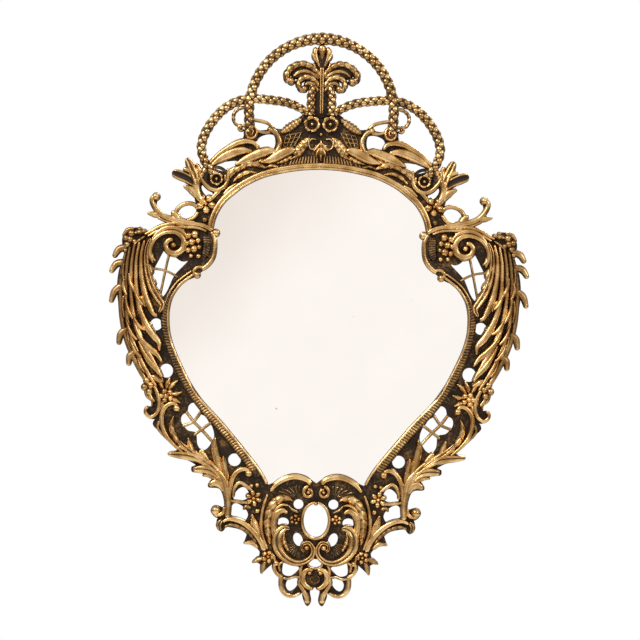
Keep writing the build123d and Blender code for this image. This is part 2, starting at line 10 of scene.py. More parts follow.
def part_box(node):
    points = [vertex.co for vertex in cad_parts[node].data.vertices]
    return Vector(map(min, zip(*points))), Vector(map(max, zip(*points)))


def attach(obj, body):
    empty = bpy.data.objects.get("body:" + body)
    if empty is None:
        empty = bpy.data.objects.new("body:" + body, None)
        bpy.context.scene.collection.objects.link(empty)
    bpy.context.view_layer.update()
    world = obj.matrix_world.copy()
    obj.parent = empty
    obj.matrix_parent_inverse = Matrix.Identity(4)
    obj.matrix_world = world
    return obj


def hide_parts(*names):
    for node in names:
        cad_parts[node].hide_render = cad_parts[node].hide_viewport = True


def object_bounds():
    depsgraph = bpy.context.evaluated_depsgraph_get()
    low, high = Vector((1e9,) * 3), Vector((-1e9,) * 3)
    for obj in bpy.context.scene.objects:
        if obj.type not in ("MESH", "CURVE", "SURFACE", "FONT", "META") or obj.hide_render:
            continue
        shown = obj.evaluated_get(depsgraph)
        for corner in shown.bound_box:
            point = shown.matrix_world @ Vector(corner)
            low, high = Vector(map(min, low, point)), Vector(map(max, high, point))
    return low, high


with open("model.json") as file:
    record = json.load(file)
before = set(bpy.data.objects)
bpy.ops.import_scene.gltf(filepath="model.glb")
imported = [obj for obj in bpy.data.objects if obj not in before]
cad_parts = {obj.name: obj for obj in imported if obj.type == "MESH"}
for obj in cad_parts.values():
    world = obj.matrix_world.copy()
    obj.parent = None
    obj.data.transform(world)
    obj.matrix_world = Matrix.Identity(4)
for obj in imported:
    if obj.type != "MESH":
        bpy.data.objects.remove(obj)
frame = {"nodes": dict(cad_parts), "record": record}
cad_low, cad_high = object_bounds()

# ---- the layout and the frame
# Ornament is drawn in millimetres, x to the right of the middle line and z above the middle of
# the glass. A rise is a height in front of the castings' ground.
METRE = 1000                         # millimetres
GLASS_TOP = 174.0                    # top edge of the glass in the layout
PLATE = 3.0                          # thickness of the castings' ground
glass_low, glass_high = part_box("mirror_glass")
MIDDLE_Z = glass_high[2] - GLASS_TOP / METRE
GROUND_Y = glass_low[1] - PLATE / METRE
FOOT = -2.4                          # how far a relief reaches down into the ground
FOOT_STEP = 0.04                     # how much deeper each part reaches than the one before
FOOT_LEVELS = 13                     # after so many parts the depths start again
FULLNESS = 1.14                      # how much fuller a stroke is than its drawn width
ACROSS = 9                           # points across a stroke
ACROSS_RIBBED = 11                   # points across a ribbed stroke
PLAIN_SAMPLES = 1.1                  # cross-sections to a millimetre of a plain stroke
LOBED_SAMPLES = 1.35                 # cross-sections to a millimetre of a stroke with lobes
REED_SAMPLES = 5                     # cross-sections to each reed
ROPE_SAMPLES = 1.25                  # cross-sections to a millimetre of a rope
FEWEST_SAMPLES = 12                  # cross-sections of the shortest stroke
END_SAMPLES = 6                      # cross-sections added for the two rounded ends
FINE_STEPS = 24                      # steps to each drawn point before a line is sampled evenly
BEAD_POINTS = 16                     # points around a bead
PETAL_POINTS = 14                    # points around a rosette, to each petal
ROPE_POINTS = 40                     # points around a rope
NARROWEST = 0.12                     # half the width at the very end of a stroke


# ---- lines
def trace(points, count):
    """Even samples along a smooth line through the points: cubic Hermite spans on the square
    root of each span's length, then resampled by length. Returns the samples and the length."""
    p = np.asarray(points, float)
    step = np.sqrt(np.hypot(*np.diff(p, axis=0).T))
    t = np.concatenate([[0.0], np.cumsum(step)])
    slope = np.gradient(p, t, axis=0)
    fine = np.linspace(0, t[-1], FINE_STEPS * len(p))
    k = np.clip(np.searchsorted(t, fine, side="right") - 1, 0, len(p) - 2)
    h = (t[k + 1] - t[k])[:, None]
    u = (fine - t[k])[:, None] / h
    line = ((1 + 2 * u) * (1 - u) ** 2 * p[k] + u * (1 - u) ** 2 * h * slope[k]
            + u ** 2 * (3 - 2 * u) * p[k + 1] + u ** 2 * (u - 1) * h * slope[k + 1])
    arc = np.concatenate([[0.0], np.cumsum(np.hypot(*np.diff(line, axis=0).T))])
    even = np.linspace(0, arc[-1], count)
    return np.stack([np.interp(even, arc, c) for c in line.T], 1), arc[-1]


def spiral(x, z, outer, inner, start, turns, count=26):
    """Points of a volute: the radius falls evenly from outer to inner over the turns (negative
    turns go clockwise), starting at the bearing start, in degrees."""
    a = np.radians(start) + 2 * np.pi * turns * np.linspace(0, 1, count)
    r = np.linspace(outer, inner, count)
    return np.stack([x + r * np.cos(a), z + r * np.sin(a)], 1)


def along(values, t):
    """Values given at even places along a line, read at t from 0 to 1."""
    values = np.atleast_1d(np.asarray(values, float))
    return np.interp(t, np.linspace(0, 1, len(values)), values)


def smooth(low, high, v):
    """0 below low and 1 above high, with 3 u squared less 2 u cubed between them."""
    u = np.clip((v - low) / (high - low), 0, 1)
    return u * u * (3 - 2 * u)


def line_length(points):
    """Length of the straight spans between the points."""
    p = np.asarray(points, float)
    return float(np.hypot(*np.diff(p, axis=0).T).sum())


def leftwards(path):
    """At each point of a line, the unit vector to its left as it runs."""
    tangent = np.gradient(path, axis=0)
    tangent /= np.maximum(np.hypot(*tangent.T), 1e-9)[:, None]
    return np.stack([-tangent[:, 1], tangent[:, 0]], 1)


def aside(points, distance):
    """The points of a line moved to its left by the distance."""
    p = np.asarray(points, float)
    return p + distance * leftwards(p)


def spread(path, across):
    """Points beside a line: row by row, each sample moved to its left by the distances across."""
    return path[:, None, :] + leftwards(path)[:, None, :] * across[:, :, None]


def oval(x, z, half_width, half_height, count, first=90, last=446, lean=0):
    """Points of an oval about (x, z), between two bearings in degrees, turned by the lean."""
    a, tilt = np.radians(np.linspace(first, last, count)), np.radians(lean)
    level = np.stack([half_width * np.cos(a), half_height * np.sin(a)], 1)
    turn = np.array([[np.cos(tilt), np.sin(tilt)], [-np.sin(tilt), np.cos(tilt)]])
    return level @ turn + (x, z)


# ---- relief
def add_object(name, data):
    """An object of the scene that holds a mesh, a light or a camera."""
    thing = bpy.data.objects.new(name, data)
    bpy.context.scene.collection.objects.link(thing)
    return thing


def profile(kind, s):
    """Height and shine across a stroke, both from 0 to 1, for s from -1 at one edge to 1 at the
    other. Round is a dome, ribbed a dome with two ridges along it, hollow stands highest at its
    edges, and a leaf climbs to a keel in the middle. Shine is 0 where patina stays."""
    cap = np.sqrt(np.clip(1 - np.abs(s) ** 2.6, 0, 1))
    if kind == "ribbed":
        wave = np.abs(np.sin(np.pi * (s + 1))) ** 0.8
        return cap ** 0.8 * (0.6 + 0.4 * wave), smooth(0.25, 0.8, wave) * smooth(0.1, 0.5, cap)
    if kind == "hollow":
        rim = np.abs(s) ** 1.6
        return cap ** 0.5 * (0.5 + 0.5 * rim), smooth(0.25, 0.7, rim) * smooth(0.1, 0.5, cap)
    if kind == "leaf":
        keel = cap ** 0.5 * (1 - 0.45 * np.abs(s))
        return keel, smooth(0.1, 0.7, keel)
    return cap, smooth(0.25, 0.85, cap)


class Relief:
    """Collects closed surfaces in layout millimetres, each with a mask that is 1 on the crests,
    where the brass is rubbed bright, and 0 in the hollows, where the patina stays black."""

    def __init__(self):
        self.parts = []

    def foot(self):
        """How far down the next part reaches: parts near each other never end at the same depth,
        so their backs don't coincide."""
        return FOOT - FOOT_STEP * (len(self.parts) % FOOT_LEVELS)

    def tube(self, rings, mask):
        """Closed surface through rings of points: rings is (count, around, 3) as x, z, rise. Each
        end is closed by a fan about the ring's middle."""
        count, around = rings.shape[:2]
        ends = np.stack([rings[0].mean(0), rings[-1].mean(0)])
        verts = np.concatenate([rings.reshape(-1, 3), ends])
        masks = np.concatenate([mask.reshape(-1), [mask[0].mean(), mask[-1].mean()]])
        i = np.arange(count - 1)[:, None] * around
        j = np.arange(around)[None, :]
        n = (j + 1) % around
        quads = np.stack([i + j, i + n, i + around + n, i + around + j], -1).reshape(-1, 4)
        j, n = j[0], n[0]
        last = (count - 1) * around
        first_fan = np.stack([np.full(around, count * around), n, j], 1)
        last_fan = np.stack([np.full(around, count * around + 1), last + j, last + n], 1)
        self.parts.append((verts, quads, np.concatenate([first_fan, last_fan]), masks))

    def stroke(self, points, widths, rise, kind="round", lobes=0, reeds=0.0, bright=1.0):
        """A raised stroke: at each place along the line, a cross-section as wide as widths and as
        high as rise times the profile of its kind. Lobes scallop the edges and cut slanting
        grooves between them. Reeds is the pitch of grooves cut straight across. Bright scales
        the mask. Both ends are rounded."""
        size = line_length(points)
        if reeds:
            count = int(REED_SAMPLES * size / reeds)
        else:
            count = int((LOBED_SAMPLES if lobes else PLAIN_SAMPLES) * size)
        path, length = trace(points, max(FEWEST_SAMPLES, count + END_SAMPLES))
        t = np.linspace(0, 1, len(path))
        half = FULLNESS * along(widths, t) / 2
        # each end is rounded by a quarter circle as long as half the width
        reach = np.minimum(t, 1 - t) * length / np.maximum(half, 0.3)
        end = np.sqrt(1 - (1 - np.clip(reach, 0, 1)) ** 2)
        s = np.linspace(-1, 1, ACROSS_RIBBED if kind == "ribbed" else ACROSS)[None, :]
        shape, shine = (np.repeat(row, len(path), 0) for row in profile(kind, s))
        width = np.maximum(half * (0.12 + 0.88 * end), NARROWEST)[:, None] * np.ones_like(s)
        if lobes:
            # scalloped edges, grooves that slant back from the middle, and a bright vein along it
            scallop = np.abs(np.sin(np.pi * (t[:, None] * lobes - 0.5 * np.abs(s)))) ** 0.6
            edge = np.abs(np.sin(np.pi * t[:, None] * lobes)) ** 0.7
            width = width * (0.78 + 0.22 * edge)
            shape = shape * (1 - 0.35 * (1 - scallop) * np.abs(s) ** 0.5)
            vein = smooth(0.75, 1.0, 1 - np.abs(s)) * end[:, None]
            shine = np.maximum(shine * (0.2 + 0.8 * smooth(0.3, 0.8, scallop)), vein)
        if reeds:
            # grooves across the stroke, slightly aslant
            groove = np.abs(np.sin(np.pi * (t[:, None] * length / reeds + 0.35 * s))) ** 0.7
            shape = shape * (0.68 + 0.32 * groove)
            shine = shine * smooth(0.3, 0.9, groove)
        height = along(rise, t)[:, None] * (0.35 + 0.65 * end[:, None]) * shape
        shine = along(bright, t)[:, None] * shine * (0.3 + 0.7 * end[:, None])
        flat = spread(path, s * width)
        top = np.concatenate([flat, height[:, :, None]], 2)
        under = np.full((len(path), 1), self.foot())
        left = np.concatenate([flat[:, 0], under], 1)
        right = np.concatenate([flat[:, -1], under], 1)
        rings = np.concatenate([left[:, None], top, right[:, None]], 1)
        self.tube(rings, np.pad(shine, ((0, 0), (1, 1))))

    def bead(self, x, z, radius, rise, bright=1.0):
        """A domed berry: an ellipsoid cap over a short wall down to the foot."""
        a = np.linspace(0, 2 * np.pi, BEAD_POINTS, endpoint=False)
        lat = np.radians([0, 0, 20, 42, 62, 80])
        r = radius * np.cos(lat)
        h = rise * np.sin(lat)
        h[0] = self.foot()
        rings = np.stack([x + r[:, None] * np.cos(a), z + r[:, None] * np.sin(a),
                          np.repeat(h[:, None], BEAD_POINTS, 1)], 2)
        mask = np.repeat((bright * smooth(0.1, 0.9, np.sin(lat)))[:, None], BEAD_POINTS, 1)
        self.tube(rings, mask)

    def berries(self, places, extra, bright=1.0):
        """Beads at (x, z, radius), each higher than its radius by the extra."""
        for x, z, radius in places:
            self.bead(x, z, radius, radius + extra, bright)

    def blossom(self, x, z, petals, first, reaches, widths, rises, eye):
        """A flower of separate petals, evenly spaced from the first bearing in degrees. Each is a
        stroke through the reaches, outwards from the middle. The eye is a bead's radius and rise."""
        for a in np.radians(first + 360 / petals * np.arange(petals)):
            self.stroke(np.outer(reaches, (np.cos(a), np.sin(a))) + (x, z), widths, rises)
        self.bead(x, z, *eye)

    def rosette(self, x, z, radius, petals, rise, turn=0.0, eye=0.27):
        """A flower: the rim swings in between round petals, the height climbs from the foot to a
        crest near the rim, sinks to a dark ring and climbs again to a round eye."""
        a = np.linspace(0, 2 * np.pi, PETAL_POINTS * petals, endpoint=False)[None, :]
        r = np.array([1, 1, 0.98, 0.92, 0.84, 0.74, 0.62, 0.5, 0.4, 0.32])[:, None]
        level = np.array([0, 0.3, 0.6, 0.86, 1, 0.96, 0.74, 0.42, 0.3, 0.3])[:, None]
        petal = np.abs(np.cos(petals * (a - np.radians(turn)) / 2)) ** 0.45
        rim = 1 - 0.2 * (1 - petal)
        h = rise * level * (0.72 + 0.28 * petal)
        h[0] = self.foot()
        out = radius * r * (rim * r ** 2 + 1 - r ** 2)
        rings = np.stack([x + out * np.cos(a), z + out * np.sin(a), h], 2)
        mask = smooth(0.45, 0.8, level) * smooth(0.1, 0.7, petal)
        mask[0] = 0
        self.tube(rings, mask)
        self.bead(x, z, radius * eye, rise * 0.95)

    def rope(self, points, radius, middle, pitch, bump=0.27):
        """A plaited rope: a round bar whose radius swells where two families of slanting grooves
        leave diamonds between them: a root of |cos(u + 3a/2) cos(u - 3a/2)|, with u along the rope
        and a around it. Two rows of diamonds in zigzag face forwards. Bump is how much of the
        radius the grooves take."""
        path, length = trace(points, int(line_length(points) * ROPE_SAMPLES))
        t = np.linspace(0, 1, len(path))
        a = np.linspace(0, 2 * np.pi, ROPE_POINTS, endpoint=False)[None, :]
        u = (np.pi * t * round(length / pitch))[:, None]
        b = 1.5 * (a + np.pi / 6)
        knot = np.abs(np.cos(u + b) * np.cos(u - b))
        size = along(radius, t)[:, None] * (1 - bump + bump * knot ** 0.4)
        flat = spread(path, size * np.sin(a))
        front = along(middle, t)[:, None] + size * np.cos(a)
        rings = np.concatenate([flat, front[:, :, None]], 2)
        # painted shade: a slow wave along the rope darkens some stretches, standing in for shade on the
        # arch; the rope's back stays dark
        shade_wave = 0.84 + 0.16 * np.sin(7 * np.pi * t[:, None] + 1.3)
        mask = shade_wave * smooth(0.06, 0.42, knot) * (0.3 + 0.7 * smooth(-0.2, 0.6, np.cos(a)))
        self.tube(rings, mask)

    def mesh(self, name, sides):
        """One object from all the parts, for the given sides: 1 as drawn, -1 mirrored."""
        verts, quads, fans, masks, start = [], [], [], [], 0
        for side in sides:
            for v, q, f, m in self.parts:
                verts.append(np.stack([side * v[:, 0] / METRE, GROUND_Y - v[:, 2] / METRE,
                                       MIDDLE_Z + v[:, 1] / METRE], 1))
                quads.append(q + start)
                fans.append(f + start)
                masks.append(m)
                start += len(v)
        verts, quads, fans = np.concatenate(verts), np.concatenate(quads), np.concatenate(fans)
        data = bpy.data.meshes.new(name)
        data.vertices.add(len(verts))
        data.vertices.foreach_set("co", verts.astype(np.float32).ravel())
        corners = np.concatenate([quads.ravel(), fans.ravel()])
        starts = np.concatenate([4 * np.arange(len(quads)), 4 * len(quads) + 3 * np.arange(len(fans))])
        data.loops.add(len(corners))
        data.loops.foreach_set("vertex_index", corners.astype(np.int32))
        data.polygons.add(len(starts))
        data.polygons.foreach_set("loop_start", starts.astype(np.int32))
        data.update(calc_edges=True)
        data.validate()
        crest = data.attributes.new("crest", "FLOAT", "POINT")
        crest.data.foreach_set("value", np.concatenate(masks).astype(np.float32))
        shell = bmesh.new()
        shell.from_mesh(data)
        bmesh.ops.recalc_face_normals(shell, faces=shell.faces)
        shell.to_mesh(data)
        shell.free()
        data.polygons.foreach_set("use_smooth", np.ones(len(data.polygons), bool))
        return add_object(name, data)


# ---- lines that pieces share
SIGHT_TOP = [(-3, 168.5), (20, 167.2), (40, 164), (60, 158.8), (80, 149), (90, 141.5), (100, 132.5),
             (106, 124), (110.5, 114), (113, 103)]
SIGHT_SIDE = [(131, 55), (139.5, 49), (147, 42.5), (155, 30), (158, 18), (158.5, 8), (157.5, -5),
              (155, -16), (151, -27), (145, -40), (137, -56), (129, -70), (119, -81.5), (109, -92),
              (100, -101.5), (84, -120.5), (67.5, -140.5), (59.5, -151), (54, -160), (51, -166)]
REEDED_SIDE = [(156, 36), (161.5, 22), (163.5, 10), (162.8, 0), (160, -12), (156.5, -24), (143, -54),
               (126, -80), (104.5, -104), (88, -123), (75, -139), (65, -153)]


# ---- crest
def crest_mouldings():
    """The upper sight moulding, the tracery behind the arches, and the ornament of the middle."""
    r = Relief()
    r.stroke(aside(SIGHT_TOP, 1.2), [2.6], 4.6)
    r.stroke(aside(SIGHT_TOP, 4.3), [5.2], 5.3)
    r.stroke([(50, 210.5), (56, 216), (64, 218.5), (76, 220)], [3.4], 4.2)
    r.stroke([(77, 207), (80, 213), (88, 213.5), (92.5, 218), (92.5, 226), (87, 231.5), (78, 233)],
             [3.6], 4.2, lobes=9)
    r.stroke([(53, 207), (60, 206.3), (70, 208)], [3.2], 3.6)
    r.stroke(spiral(85, 211, 3.3, 1.8, 200, 0.9), [2.4, 2.4, 1.92], [3.57, 4.2, 4.62])
    r.bead(85, 211, 1.8, 4.83)
    r.stroke([(98, 168), (98, 160), (99, 152.5), (103.5, 147), (110, 144.5), (117, 146.5),
              (123.5, 152.5), (127.5, 159.5), (126.5, 168)],
             [3, 4, 5, 5.4, 5.4, 5.4, 5, 4, 3], 5.4)
    r.stroke([(88, 169), (94, 164), (99, 158.5), (100, 151)], [5, 8, 8, 4], 3.4)
    r.stroke([(4.5, 199.5), (10, 200), (13, 195), (10.5, 189.5), (5.5, 190.5), (5, 194.5)], [2.2], 3.8)
    # flutes above the sight moulding, longer in the middle
    for x in np.arange(4.0, 34.0, 3.2):
        drop = 0.0018 * x * x
        r.stroke([(x * 0.92, 183 - 2 * drop), (x, 173.5 - drop)], [1.2, 2.6], [1, 2.2], bright=0.5)
    for x in np.arange(38.0, 84.0, 4.0):
        z = 176.5 - 0.0043 * (x - 4) ** 2 + 0.4
        r.stroke([(x - 1.5, z + 3), (x + 1.6, z - 3.4)], [1.4, 2.8], [1, 2.2], bright=0.35)
    # trellis of crossing bars
    for k in range(4):
        u = k / 3
        r.stroke([(20 + 9 * u, 207 - 15 * u), (37 + 3.5 * u, 203.5 - 12 * u)], [1.3], 2.0, bright=0.6)
        r.stroke([(21 + 16 * u, 206.5 - 3.5 * u), (28.5 + 11.5 * u, 192 - 0.5 * u)], [1.3], 2.0, bright=0.6)
    r.stroke([(0, 197), (4, 191), (8.5, 187)], [3, 6, 1.5], 4.0, "leaf")
    r.stroke([(0, 192), (4, 185), (5, 180)], [3, 5, 1.5], 3.6, "leaf")
    return r


def crest_middle():
    """The small leaf on the middle line of the crest."""
    r = Relief()
    r.stroke([(0, 200), (0, 192), (0, 184), (0, 176.5)], [3, 7, 6, 1.6], 5, "leaf", lobes=3)
    return r


def crest_leaves():
    """Leaves that sweep outwards over the glass, and the cornucopia under each arch."""
    r = Relief()
    r.stroke([(11, 202), (16, 197), (21, 191), (29, 182.5)], [5, 11, 11.5, 4], 5.8, "leaf", lobes=5)
    r.stroke([(16, 190), (24, 183), (33, 177.5)], [3, 6, 2], 4, "leaf", lobes=4, bright=0.8)
    r.stroke([(26, 188), (33, 187.5), (40, 185), (47, 181), (55, 177), (64, 174.5)],
             [5, 10, 11.5, 10.5, 7, 2], 5.8)
    r.stroke([(30, 182), (38, 177), (47, 173.5)], [3, 6, 2], 4, "leaf", lobes=4)
    r.stroke([(46, 186), (54, 187), (62, 185), (72, 181), (82, 176), (91, 171.5)],
             [3, 9, 11, 10.5, 8, 2], 6.4)
    r.stroke([(50, 178), (62, 176.5), (74, 171.5)], [3, 7, 2], 4.4, "leaf", lobes=5)
    r.stroke([(66, 189), (70, 194.5), (78, 196.8), (88, 195), (98, 189.5), (108, 182.5), (118, 172.5)],
             [4, 6, 7, 6.4, 5.4, 4.6, 3], 6.6)
    r.stroke([(72, 186), (82, 187), (93, 184.5), (104, 179.5), (116, 170.5)], [4, 9, 11, 9, 3], 5.6)
    r.stroke([(20, 221.5), (27, 216.5), (35, 211), (43, 205.5)], [5, 8.5, 9, 4], 5.2, "leaf", lobes=7)
    r.stroke([(54.5, 210), (49, 207), (44.8, 201.5), (43.3, 195), (46, 187.5), (52, 182)],
             [4, 5, 5.4, 5.4, 5, 4], 5.6)
    r.bead(54, 209.5, 3.4, 5.6)
    r.stroke([(57, 168), (65, 172), (73, 174), (81, 172), (88, 167.5), (95, 163), (99, 155)],
             [3, 7, 9, 8.5, 7.5, 6, 4.5], 5, "leaf", lobes=7)
    r.stroke([(66, 163), (76, 164.5), (86, 160), (93, 153)], [2, 5.5, 6, 3], 4.2, "leaf", lobes=4)
    r.stroke([(44, 170), (52, 171.5), (60, 168)], [2, 4.6, 2], 3.8, "leaf", lobes=3, bright=0.8)
    r.stroke([(88, 152), (96, 146), (103, 139)], [3, 6, 4], 4.4, bright=0.8)
    r.stroke([(103, 147), (111, 140), (116, 133)], [3, 5, 3], 4.4, bright=0.8)
    return r


def crest_flowers():
    """The pair of flowers at the foot of the palmette: one of them, drawn on the right."""
    r = Relief()
    r.rosette(9.7, 215.7, 9.4, 6, 6.6, turn=12)
    return r


def crest_bead():
    """The bead between the crest's two flowers."""
    r = Relief()
    r.bead(0, 205, 2.6, 6.2)
    return r


def volute_flowers():
    """The flower in the dished volute at the crest's end."""
    r = Relief()
    r.rosette(110, 156.5, 7.6, 6, 6.8, turn=20, eye=0.3)
    return r


def palmette_middle():
    """Stem and top leaf of the palmette."""
    r = Relief()
    r.stroke([(0, 222), (0, 240), (0, 262)], [22, 20, 12], 2.2, bright=0.1)
    r.stroke([(0, 226), (0, 240), (0, 256), (0, 277)], [5, 4.8, 5.4, 6], [6, 6.6, 7, 7], "ribbed")
    r.stroke([(0, 270), (0, 280), (0, 291)], [7, 15, 13], 4.6, bright=0.08)
    r.stroke([(0, 284), (0, 291), (0, 300.5)], [2, 8, 8], [5, 7.4, 7.6])
    return r


def palmette_side():
    """Plumes and beaded columns of the palmette."""
    r = Relief()
    r.stroke([(2.4, 276), (5.6, 284), (7.2, 291), (6, 297.5)], [2.4, 4.4, 6, 6], [5, 6.6, 7.2, 7])
    r.stroke([(4.6, 281), (9, 286.5), (9.4, 291.5)], [2, 4, 4], 6.4)
    r.stroke([(1, 268), (6.5, 274), (9.5, 281)], [3, 4.4, 3], 5.2)
    r.stroke([(3, 258), (12, 267), (23, 270.5), (33, 267)], [13, 15, 14, 9], 3, bright=0.08)
    r.stroke([(4, 247), (11, 257), (19, 259)], [11, 11, 8], 2.6, bright=0.08)
    r.stroke([(2, 263), (4.5, 270), (11, 276.5), (19, 279.5), (27.5, 278), (34.8, 272.5), (37.6, 265),
              (33.6, 259.6)], [4, 6, 6.6, 7, 7.4, 8, 7.6, 6], [5, 6.4, 7, 7, 7, 7.2, 7.4, 7], lobes=8,
             bright=[0.6, 0.8, 0.75, 0.9])
    r.bead(32.4, 261, 4.6, 7.8)
    r.stroke([(3, 263), (9, 269), (17, 272), (25, 270.5), (30.5, 265.5)],
             [2.4, 4, 4.4, 4, 2], 4.4, bright=0.75)
    r.stroke([(3, 254), (6.5, 261.5), (13, 265.5), (20, 264.5), (24.6, 259), (23, 253), (18.5, 251)],
             [4, 5.6, 6, 6.6, 7, 6, 4.6], 6.6, lobes=6)
    r.bead(18.4, 253, 4.2, 7.4)
    r.stroke([(3, 250), (9, 258), (15, 259), (18, 256)], [3, 5, 5, 3], 4.2, bright=0.7)
    r.rope([(10.5, 225), (11, 234), (11, 244), (9.5, 257)], [4.8, 5, 5, 3.4], [2.4], 7.4, bump=0.3)
    return r


# ---- ropes
ARCH_CENTRE = 229.5
ARCH_RADIUS = 76.5


def centre_rope():
    """The tall arch: half a circle on two legs, thicker at its top, with curled feet."""
    r = Relief()
    a = np.radians(np.linspace(0, 180, 37))
    round_top = np.stack([ARCH_RADIUS * np.cos(a), ARCH_CENTRE + ARCH_RADIUS * np.sin(a)], 1)
    line = np.concatenate([[(75, 206), (75.8, 214), (76.4, 222)], round_top,
                           [(-76.4, 222), (-75.8, 214), (-75, 206)]])
    r.rope(line, [5.7, 5.8, 5.8, 5.9, 7.0, 5.9, 5.8, 5.8, 5.7], [4.4], 8.6)
    for side in (1, -1):
        r.bead(side * 74.5, 205.5, 7.8, 6.2, bright=0.5)
        turns = spiral(0, 205.5, 7.6, 1.6, 90, 1.5, 34) * (side, 1) + (side * 74.5, 0)
        r.stroke(turns, [3.4, 3.2, 2.8], [7.6, 8.8, 9.6])
    return r


def side_rope():
    """The low arch that leans out of the tall one and runs down to the volute."""
    r = Relief()
    line = [(14, 227.5), (25, 234), (38, 238.5), (52, 240.5), (66, 241.8), (78, 241.3), (90, 238.2),
            (101, 232), (111, 222.5), (119, 211.5), (124.5, 200), (126.5, 189), (124, 178),
            (118.5, 169), (113, 161.5)]
    r.rope(line, [4.8, 5.3, 5.5, 5.5, 5.2], [1.9], 8.4)
    return r


# ---- shoulder sprigs
def shoulder_sprig():
    """Leaves, flower, ring and tendril that stand out beside the crest."""
    r = Relief()
    r.stroke([(121, 129), (129, 138), (131.5, 148), (128, 160)], [6, 8, 9, 7], 5.4)
    r.stroke([(130, 147), (133, 159), (137, 168), (141.5, 178.5)], [6, 9, 10, 6], 6.6, "ribbed")
    r.stroke([(133, 160), (139, 165), (146, 166.5)], [3, 6, 4], 6)
    r.stroke([(132, 158), (129, 166), (131, 173)], [3, 5.4, 3], 5.4)
    r.stroke([(130, 149), (140, 156), (149, 160), (157.5, 162.5)], [6, 9, 10, 8], 6.4, "hollow", bright=1.6)
    r.stroke([(129, 136), (136, 144), (145, 148.8)], [6, 8, 3], 5.4)
    r.stroke([(127, 156), (124, 164), (118, 172)], [7, 7, 4], 4.6, "leaf", lobes=3)
    r.blossom(121, 130, 5, 50, [1.5, 6, 11], [3, 8, 8], [4, 7, 6], (2.4, 7.8))
    r.stroke(oval(141, 121, 11.9, 8.9, 36, -160, 190, lean=-20), [4.2], 4.8)
    r.stroke([(131, 110), (142, 110.5), (150, 112.5), (160, 114), (169, 118.5), (176, 127),
              (177.8, 134), (174, 138)], [3, 6, 7, 6.5, 6, 5.6, 5.6, 5], 6)
    r.stroke([(143, 106.5), (152, 108.5), (162, 110.5), (172, 115)], [3], 4.6)
    r.bead(173.8, 136.8, 4.8, 7.4)
    r.stroke([(148, 111), (152.5, 117), (157, 122)], [6, 8, 5], 6.4)
    r.stroke([(168, 117), (176, 118), (183, 119.3)], [6, 6, 2.4], 5)
    r.bead(122, 113, 3.4, 4.4, bright=0.5)
    r.bead(125, 107.5, 3.0, 3.6, bright=0.4)
    return r


# ---- wings
def wing_mouldings():
    """Sight moulding of the wing: a thin bright line at the glass and a reeded band. With it come
    the lattice bars, the waist's fluted hollow with its rim, curls and berries, and the leaf tips
    of the wing's outer edge."""
    r = Relief()
    r.stroke(aside(SIGHT_SIDE, 1.3), [2.8], 4.7)
    r.stroke(aside(SIGHT_SIDE[:6], 5.2), [2.4], 4.2)
    r.stroke(REEDED_SIDE, [6, 7, 8, 8, 8.5, 9, 9], 5.2, reeds=3.1, bright=[0.25, 0.35, 0.4, 0.6, 0.7, 0.5])
    for bar in ([(158, 83), (163, 59), (169, 29)], [(149, 51.5), (163, 58.5), (180, 61)]):
        r.stroke(bar, [2.3], 1.8, bright=0.7)
    for bar in ([(139, -90.5), (131, -101), (122.4, -109.5), (110, -123)],
                [(123, -90), (131, -101), (143, -106.2)], [(111, -101), (122.4, -109.5), (131, -116)]):
        r.stroke(bar, [2.9], 1.8, bright=0.7)
    r.stroke([(113.5, 101), (119, 105), (128, 108), (140, 108.5), (150, 109.3), (160, 108), (170, 105),
              (178, 100.5), (186, 96)], [5, 5.4, 5, 4.4, 4.2, 4.2, 4, 3], 5.4)
    r.stroke([(115, 101), (111.6, 93), (111, 83), (112.6, 73.5), (117.5, 66), (125, 60)], [4.6], 5.4)
    r.stroke([(120.5, 98), (118.5, 86), (121.5, 73)], [9, 10.5, 8], 2.8, reeds=2.6, bright=0.28)
    r.bead(110.2, 99.3, 4.6, 6.2)
    r.stroke([(122, 62.5), (129, 62.5), (133, 58), (130.5, 54)], [3.5, 4.2, 4.2, 4], 5.4)
    r.bead(129.6, 54.6, 4.2, 6)
    r.berries([(132, 97.5, 4.8), (139, 96, 4.2), (135.4, 89.4, 4.6), (128.6, 91, 3.8), (140.6, 88, 3.8),
               (132.6, 82, 4.8), (139, 80.6, 3.8), (128.2, 74.4, 3.4), (145, 101, 3.2), (127.4, 84, 3.2),
               (136, 74.6, 3.2)], 2.4)
    for tip in ([(203, 83), (212, 80.6), (218.2, 71.6)], [(205, 67), (214.5, 65), (221.4, 55.4)],
                [(207, 43), (215.6, 36.8), (220.6, 23.6)], [(202, -3), (209, -9), (211.6, -21)],
                [(192, -27), (199, -32), (200.6, -43)]):
        r.stroke(tip, [7, 7, 4.4], 5.4, bright=[0.5, 0.6, 0.9])
    r.stroke([(183, -62), (181, -74), (175, -80), (175, -86)], [3, 3, 3, 2], 3.6, bright=0.6)
    return r


